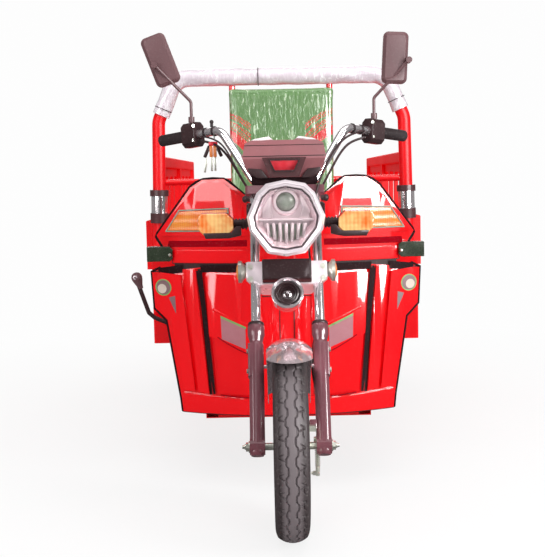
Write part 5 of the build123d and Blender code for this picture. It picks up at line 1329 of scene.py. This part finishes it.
class TRICYCLE_OT_shield_dressing(bpy.types.Operator):
    """Make the shield's dark patches and lines painted as shade in its recesses, groove and creases, its edging,
    lamp frames, bare decals, ridges, seams and screws
    """

    bl_idname = "tricycle.shield_dressing"
    bl_label = "Shield dressing"

    def execute(self, context):
        for name, slot, look, thickness, patches in SHIELD_PATCHES:
            shape = bmesh.new()
            for corners, rise in patches:
                shield_patch(shape, corners, rise, thickness)
            new_piece(name, shape, "frame", slot, place=VEHICLE, look=look, both=True)

        # Painted shade: the groove band and the crease lines in dark red
        grooves = bmesh.new()
        shield_patch(grooves, GROOVE_SHADE, 0.8, 0.6)
        for line in CREASE_SHADES:
            shield_line(grooves, line, 1.7, 9.6, joined=False)
        new_piece(
            "shield_groove_shades", grooves, "frame", "red_plastic", place=VEHICLE, look="groove_shade_red", both=True
        )
        trims = bmesh.new()
        for corners, radius in TRIMS:
            shield_line(trims, corners, radius, -radius, steps=10)
        new_piece(
            "shield_trims", trims, "frame", "black_plastic", place=VEHICLE, look="seal_and_shade_black", both=True
        )
        frames = bmesh.new()
        shield_line(frames, LAMP_EDGE, 1.8, 15)
        new_piece("shield_lamp_frames", frames, "frame", "amber", place=VEHICLE, look="lamp_edge", both=True)

        ridges = bmesh.new()
        (x_out, z_out), (x_in, z_in), radius = RIDGE
        start = (x_out, shield_station(x_out) - 7, z_out)
        end = (x_in, shield_station(x_in) - 7, z_in)
        rod(ridges, start, end, radius)
        ball(ridges, start, radius)
        ball(ridges, end, radius)
        new_piece("shield_ridges", ridges, "frame", "red_plastic", place=VEHICLE, both=True)

        seams = bmesh.new()
        for x, rise in ((21, 0.5), (75, 6.5)):
            shield_patch(seams, [(x - 1.2, 640), (x + 1.2, 640), (x + 1.2, 290), (x - 1.2, 290)], rise, 0.8)
        mirrored(seams)
        shield_patch(seams, [(-74, 579), (74, 579), (74, 582), (-74, 582)], 6.5, 0.8)
        new_piece("shield_seams", seams, "frame", "black_plastic", place=VEHICLE)

        screws = bmesh.new()
        x, z, rise = SHIELD_SCREW
        place = facing_front(x, shield_station(x) - rise, z)
        turned(screws, [(0, 2.6), (3.4, 2.2), (5.4, 0.6), (5.4, -1), (0, -1)], place, steps=20)
        new_piece("shield_screws", screws, "frame", "steel", place=VEHICLE, both=True)
        return {"FINISHED"}


# Foam sleeve: the arch's centre line, as side and height of its corners, and its bend
ARCH_STATION = 1150
ARCH_CORNERS = ((450, 556), (438, 1130), (372, 1280))
ARCH_BEND = 70
SLEEVE_RADIUS = 31
SLEEVE_LOW = 1150
SLEEVE_STEPS = 28


def arch_line():
    """Points along the arch from its low right end over the top to the left, evenly close."""
    half = [Vector((x, 0, z)) for x, z in ARCH_CORNERS]
    corners = half + [Vector((-p.x, 0, p.z)) for p in reversed(half)]
    runs = []
    for before, corner, after in zip(corners, corners[1:], corners[2:]):
        back, ahead = (before - corner).normalized(), (after - corner).normalized()
        half_angle = back.angle(ahead) / 2
        cut = ARCH_BEND / (sin(half_angle) / cos(half_angle))
        first, last = corner + back * cut, corner + ahead * cut
        centre = corner + (back + ahead).normalized() * (ARCH_BEND / sin(half_angle))
        runs.append((first, centre, last))
    line = [corners[0]]
    for first, centre, last in runs:
        line.append(first)
        a, b = first - centre, last - centre
        for step in range(1, 8):
            mixed = a.lerp(b, step / 8).normalized() * ARCH_BEND
            line.append(centre + mixed)
        line.append(last)
    line.append(corners[-1])
    return line


def along_line(line, spacing):
    """Points at an even spacing along a line of points."""
    made, left = [line[0]], spacing
    for start, end in zip(line, line[1:]):
        run = (end - start).length
        done = 0.0
        while run - done >= left:
            done += left
            made.append(start.lerp(end, done / run))
            left = spacing
        left -= run - done
    return made


def sleeve_piece(name, points, radius, slot, ruffle, nodes=(), look=None, width=5.0):
    """A soft sleeve round the arch's tube through points, ruffled by a smooth noise."""
    shape = bmesh.new()
    rows = []
    for number, point in enumerate(points):
        ahead = points[min(number + 1, len(points) - 1)] - points[max(number - 1, 0)]
        ahead.normalize()
        outward = Vector((0, 1, 0)).cross(ahead).normalized()
        row = []
        for step in range(SLEEVE_STEPS):
            turn = 2 * pi * step / SLEEVE_STEPS
            lift = ruffle * noise.noise(Vector((point.x * 0.02, turn * 1.3 + point.z * 0.01, number * 0.05)))
            reach = radius + lift
            offset = outward * (reach * cos(turn)) + Vector((0, reach * sin(turn), 0))
            row.append(shape.verts.new(point + offset))
        rows.append([shape.edges.new(pair) for pair in zip(row, row[1:] + row[:1])])
    for before, after in zip(rows, rows[1:]):
        bmesh.ops.bridge_loops(shape, edges=before + after)
    bmesh.ops.solidify(shape, geom=shape.faces[:], thickness=width)
    place = VEHICLE @ Matrix.Translation((0, ARCH_STATION, 0))
    return new_piece(name, shape, "frame", slot, nodes, smooth=60, place=place, look=look)


TAPE_SIDE = -80


class TRICYCLE_OT_sleeve(bpy.types.Operator):
    """Make the foam sleeve over the arch, with its tape"""

    bl_idname = "tricycle.sleeve"
    bl_label = "Foam sleeve"

    def execute(self, context):
        line = along_line(arch_line(), 9.0)
        covered = [point for point in line if point.z > SLEEVE_LOW]
        sleeve = sleeve_piece("foam_sleeve", covered, SLEEVE_RADIUS - 1.4, "foam", 3.2, ("arch_padding",))
        fine = along_line(arch_line(), 2.5)
        tapes = [
            [p for p in fine if p.x > 0 and 1190 < p.z < 1194],
            [p for p in fine if p.x < 0 and 1170 < p.z < 1174],
            [p for p in fine if TAPE_SIDE - 3 < p.x < TAPE_SIDE + 3 and p.z > 1270],
        ]
        for number, points in enumerate(tapes):
            name = f"sleeve_tape_{number + 1}"
            sleeve_piece(name, points, SLEEVE_RADIUS + 1.0, "foam", 0.0, look="black_plastic", width=1.4)
        return {"FINISHED"}


def swollen(piece, voxel, cap, low, high):
    """Swells a piece's mesh as a cloth bag under pressure, no point further than the cap or out of a box."""
    remesh = piece.modifiers.new("even", "REMESH")
    remesh.mode = "VOXEL"
    remesh.voxel_size = voxel
    depsgraph = bpy.context.evaluated_depsgraph_get()
    even = bpy.data.meshes.new_from_object(piece.evaluated_get(depsgraph))
    piece.modifiers.clear()
    old, piece.data = piece.data, even
    even.materials.clear()
    even.materials.append(old.materials[0])
    start = [point.co.copy() for point in even.vertices]
    cloth = piece.modifiers.new("swell", "CLOTH")
    cloth.settings.use_pressure = True
    cloth.settings.uniform_pressure_force = 4.0
    cloth.settings.effector_weights.gravity = 0
    cloth.settings.tension_stiffness = 20
    cloth.settings.bending_stiffness = 2
    for number in range(1, 21):
        bpy.context.scene.frame_set(number)
    depsgraph = bpy.context.evaluated_depsgraph_get()
    moved = bpy.data.meshes.new_from_object(piece.evaluated_get(depsgraph))
    piece.modifiers.clear()
    for point, first, after in zip(even.vertices, start, moved.vertices):
        step = after.co - first
        if step.length > cap:
            step = step.normalized() * cap
        place = first + step
        point.co = [min(max(place[axis], low[axis]), high[axis]) for axis in range(3)]
    bpy.data.meshes.remove(moved)
    bpy.context.scene.frame_set(1)


def sew(piece, channels, depth, spread):
    """Presses sewn channels into a swollen piece. Each has an axis, a place along it and a side it faces."""
    normals = [point.normal.copy() for point in piece.data.vertices]
    for point, normal in zip(piece.data.vertices, normals):
        pull = 0.0
        for axis, place, face_axis, face_sign in channels:
            if normal[face_axis] * face_sign < 0.35:
                continue
            pull = max(pull, 1 - ramp(abs(point.co[axis] - place), 0.0, spread))
        point.co -= normal * depth * pull * pull


def cushion(name, node, body, slot, margin, edge, low_margin=0.0):
    """A padded block a little smaller than a CAD node's box, with rounded edges, ready to swell."""
    low, high = [Vector(corner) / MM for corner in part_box(node)]
    inset = Vector((margin, margin, margin))
    low_inset = Vector((margin, margin, low_margin))
    shape = bmesh.new()
    block(shape, low + low_inset, high - inset, edge, segments=3)
    piece = new_piece(name, shape, body, slot, (node,), smooth=70, place=Matrix.Scale(MM, 4))
    return piece, low * MM, high * MM


class TRICYCLE_OT_cushions(bpy.types.Operator):
    """Make the padded seat cushion and back cushion"""

    bl_idname = "tricycle.cushions"
    bl_label = "Cushions"

    def execute(self, context):
        voxel = size("voxel") * MM
        seat, low, high = cushion("seat_padding", "seat_cushion", "seat", "seat_vinyl", 7.0, 20.0, 0.4)
        swollen(seat, voxel, 0.012, low, high)
        middle = (low.y + high.y) / 2
        channels = [(0, x, 2, 1) for x in (-0.15, 0.0, 0.15)] + [(1, middle, 2, 1)]
        channels += [(2, high.z - 0.026, 1, -1), (2, high.z - 0.026, 0, 1), (2, high.z - 0.026, 0, -1)]
        sew(seat, channels, 0.006, 0.012)
        back, low, high = cushion("back_padding", "backrest_cushion", "frame", "green_vinyl", 4.0, 12.0, 4.0)
        swollen(back, voxel, 0.009, low, high)
        hems = [(0, low.x + 0.03, 1, -1), (0, high.x - 0.03, 1, -1), (2, high.z - 0.03, 1, -1)]
        sew(back, hems, 0.003, 0.008)
        for point in back.data.vertices:
            wave = noise.noise(Vector((point.co.x * 16, 0, point.co.z * 5)))
            point.co.y += 0.0022 * wave if point.normal.y < -0.3 else 0.0
            point.co.y = max(point.co.y, low.y)
        for piece in (seat, back):
            piece.data.shade_smooth()
            finer = piece.modifiers.new("smooth", "SUBSURF")
            finer.levels = finer.render_levels = 1
        return {"FINISHED"}


# Lowest and highest place and radius of the dark bands on the arch's collars
COLLAR_BANDS = ((864, 886, 33.5), (768, 803, 32.5))
# Front view corners of the dark lip under the right signal lamp, from its outer end round to the stalk
SIGNAL_LIP = ((218, 781), (145, 781), (132, 797), (118, 797), (118, 773), (136, 769), (150, 766), (212, 766))


class TRICYCLE_OT_small_fittings(bpy.types.Operator):
    """Make the marker screws, a dark block painted as the shadow under the instrument, collar bands, signal lips
    and lever knob
    """

    bl_idname = "tricycle.small_fittings"
    bl_label = "Small fittings"

    def execute(self, context):
        screws = bmesh.new()
        for side in (-1, 1):
            place = facing_front(side * 341, 452, 702)
            turned(screws, [(0, 2.5), (3, 2), (4.5, 0), (4.5, -6), (0, -6)], place, steps=16)
        new_piece("marker_screws", screws, "frame", "steel", place=VEHICLE)
        # A dark block painted as the shadow under the instrument housing, above the headlamp
        under = bmesh.new()
        block(under, (-92, 306, 902), (92, 316, 958), 5)
        new_piece("pod_painted_shadow", under, "steering", "black_plastic", place=VEHICLE, look="seal_and_shade_black")

        bands = bmesh.new()
        for low, high, radius in COLLAR_BANDS:
            low_x, high_x = [450 - 12 * (z - 556) / 574 for z in (low, high)]
            rod(bands, (low_x, ARCH_STATION, low), (high_x, ARCH_STATION, high), radius, segments=32)
        new_piece("collar_bands", bands, "frame", "dark_plastic", place=VEHICLE, both=True)

        lips = bmesh.new()
        front_plate(lips, SIGNAL_LIP, 128, 26, 1.5)
        new_piece("signal_lips", lips, "steering", "black_plastic", place=VEHICLE, both=True)

        knob = bmesh.new()
        place = Matrix.Translation((-481, 760, 606)) @ Matrix.Rotation(radians(-18.6), 4, "Y")
        profile = [(0, 20), (7, 19), (13, 15), (17, 8), (17.6, 0), (15, -10), (10, -24), (8, -36), (0, -36)]
        turned(knob, profile, place)
        new_piece("lever_knob", knob, "frame", "black_plastic", place=VEHICLE, look="mirror_plastic")
        cap = bmesh.new()
        place = facing_front(-485, 744, 610)
        turned(cap, [(3.4, 1.4), (7, 1), (7, -4), (3.4, -4)], place, steps=20, ring=True)
        new_piece("lever_cap", cap, "frame", "silver_shell", place=VEHICLE)
        return {"FINISHED"}


CAMERA_BACK = 2.6
CAMERA_SIDE = -0.025
CAMERA_HEIGHT = 0.925
CAMERA_FOCAL_PIXELS = 1040.0
PHOTO_HEIGHT = 557
HORIZON_PIXEL = 177.0
CAMERA_ROLL = -1.2
CAMERA_SHIFT_PIXELS = 5.1
FLOOR_SIZE = 30.0
PALE = 0.985
# How strongly the world lights matt surfaces and shows in glossy ones, and how pale they see the floor
SKY_LIGHT = 0.62
SKY_GLOSS = 0.22
FLOOR_GLOSS = 0.12
# Name, place, target, size, power and whether it only shows as a reflection, of each soft lamp
LAMPS = (
    ("key_lamp", (3.0, -3.2, 2.0), (0, -0.9, 0.7), (1.6, 1.6), 95, False),
    ("fill_lamp", (-3.0, -3.4, 1.9), (0, -0.9, 0.7), (1.6, 1.6), 26, False),
    ("top_lamp", (0.3, -1.6, 4.2), (0, -0.4, 0.5), (3.6, 3.0), 80, False),
    ("back_lamp", (0, 4.2, 2.6), (0, 0.8, 0.6), (3.0, 1.8), 50, False),
    ("right_card", (2.26, -3.12, 1.62), (0.25, -0.8, 1.62), (2.4, 1.66), 400, True),
    ("left_card", (-2.26, -3.12, 1.62), (-0.25, -0.8, 1.62), (2.4, 1.66), 72, True),
)


def pale_floor():
    """The pale matt floor. The camera sees it fade into the white background, and glossy surfaces see it plain
    grey.
    """
    material, tree = new_material("pale_floor")
    matt = add_node(tree, "ShaderNodeBsdfDiffuse", Color=(0.86, 0.86, 0.86, 1))
    white = add_node(tree, "ShaderNodeEmission", Color=(PALE, PALE, PALE, 1))
    grey = add_node(tree, "ShaderNodeEmission", Color=(FLOOR_GLOSS, FLOOR_GLOSS, FLOOR_GLOSS, 1))
    reach = add_node(tree, "ShaderNodeVectorMath", {0: object_place(tree)}, operation="LENGTH")
    fade = ranged(tree, reach.outputs["Value"], 1.0, 2.6, 0.80)
    path = tree.nodes.new("ShaderNodeLightPath").outputs
    share = maths(tree, "MULTIPLY", path["Is Camera Ray"], fade)
    seen = add_node(tree, "ShaderNodeMixShader", {0: share, 1: matt.outputs[0], 2: white.outputs[0]})
    mixed = add_node(
        tree, "ShaderNodeMixShader", {0: path["Is Glossy Ray"], 1: seen.outputs[0], 2: grey.outputs[0]}
    )
    output = tree.nodes.new("ShaderNodeOutputMaterial")
    tree.links.new(mixed.outputs[0], output.inputs["Surface"])
    return material


def soft_white_world():
    """The world: a plain soft light on the object, dimmer in glossy surfaces, and white to the camera and glass.
    """
    world = bpy.data.worlds.new("soft_white")
    world.use_nodes = True
    tree = world.node_tree
    tree.nodes.clear()
    path = tree.nodes.new("ShaderNodeLightPath").outputs
    seen = maths(tree, "MAXIMUM", path["Is Camera Ray"], path["Is Transmission Ray"])
    dim = ranged(tree, path["Is Glossy Ray"], 0.0, 1.0, SKY_LIGHT, SKY_GLOSS)
    strength = ranged(tree, seen, 0.0, 1.0, dim, 1.0)
    sky = add_node(tree, "ShaderNodeBackground", {"Strength": strength}, Color=(PALE, PALE, PALE, 1))
    tree.links.new(sky.outputs[0], tree.nodes.new("ShaderNodeOutputWorld").inputs["Surface"])
    return world


def add_lamp(name, place, target, extent, power, gloss_only):
    """A soft area lamp that points at a target, or a card that only glossy surfaces show."""
    data = bpy.data.lights.new(name, "AREA")
    data.shape = "RECTANGLE"
    data.size, data.size_y = extent
    data.energy = power
    lamp = bpy.data.objects.new(name, data)
    bpy.context.scene.collection.objects.link(lamp)
    lamp.location = place
    lamp.visible_diffuse = not gloss_only
    lamp.visible_transmission = not gloss_only
    lamp.rotation_euler = (Vector(target) - Vector(place)).to_track_quat("-Z", "Y").to_euler()


class TRICYCLE_OT_stage(bpy.types.Operator):
    """Make the floor, the soft light and the camera"""

    bl_idname = "tricycle.stage"
    bl_label = "Stage"

    def execute(self, context):
        scene = context.scene
        scene.view_settings.view_transform = "Standard"
        shape = bmesh.new()
        bmesh.ops.create_grid(shape, x_segments=1, y_segments=1, size=FLOOR_SIZE)
        mesh = bpy.data.meshes.new("floor")
        shape.to_mesh(mesh)
        shape.free()
        floor_object = bpy.data.objects.new("floor", mesh)
        mesh.materials.append(pale_floor())
        scene.collection.objects.link(floor_object)
        scene.world = soft_white_world()
        for row in LAMPS:
            add_lamp(*row)
        data = bpy.data.cameras.new("camera")
        camera = bpy.data.objects.new("camera", data)
        scene.collection.objects.link(camera)
        data.lens = CAMERA_FOCAL_PIXELS * data.sensor_width / PHOTO_HEIGHT
        data.shift_x = -CAMERA_SHIFT_PIXELS / PHOTO_HEIGHT
        pitch = (PHOTO_HEIGHT / 2 - HORIZON_PIXEL) / CAMERA_FOCAL_PIXELS
        turn = Matrix.Rotation(pi / 2 - pitch, 4, "X") @ Matrix.Rotation(radians(CAMERA_ROLL), 4, "Z")
        place = Matrix.Translation((CAMERA_SIDE, FRONT_AXLE.y - CAMERA_BACK, CAMERA_HEIGHT))
        camera.matrix_world = place @ turn
        scene.camera = camera
        return {"FINISHED"}


PIECE_OPERATORS = (
    TRICYCLE_OT_stage,
    TRICYCLE_OT_carried_nodes,
    TRICYCLE_OT_rounded_nodes,
    TRICYCLE_OT_tyres,
    TRICYCLE_OT_headlamp,
    TRICYCLE_OT_instrument,
    TRICYCLE_OT_fork_fittings,
    TRICYCLE_OT_brake_linkage,
    TRICYCLE_OT_bar_fittings,
    TRICYCLE_OT_shield_dressing,
    TRICYCLE_OT_sleeve,
    TRICYCLE_OT_cushions,
    TRICYCLE_OT_small_fittings,
)


class TRICYCLE_PT_panel(bpy.types.Panel):
    """The sidebar panel that lists the pieces"""

    bl_label = "Cargo tricycle"
    bl_idname = "TRICYCLE_PT_panel"
    bl_space_type = "VIEW_3D"
    bl_region_type = "UI"
    bl_category = "Tricycle"

    def draw(self, context):
        for piece in PIECE_OPERATORS:
            self.layout.operator(piece.bl_idname)


CLASSES = (TricycleColours, TricycleSizes, *PIECE_OPERATORS, TRICYCLE_PT_panel)


def register():
    """Register the classes and their settings."""
    for cls in CLASSES:
        bpy.utils.register_class(cls)
    bpy.types.Scene.tricycle_colours = bpy.props.PointerProperty(type=TricycleColours)
    bpy.types.Scene.tricycle_sizes = bpy.props.PointerProperty(type=TricycleSizes)


def unregister():
    """Take the settings and the classes away."""
    del bpy.types.Scene.tricycle_sizes
    del bpy.types.Scene.tricycle_colours
    for cls in reversed(CLASSES):
        bpy.utils.unregister_class(cls)


def main():
    """Register the add-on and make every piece."""
    register()
    for piece in PIECE_OPERATORS:
        run_operator(piece)
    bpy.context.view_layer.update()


if __name__ == "__main__":
    main()
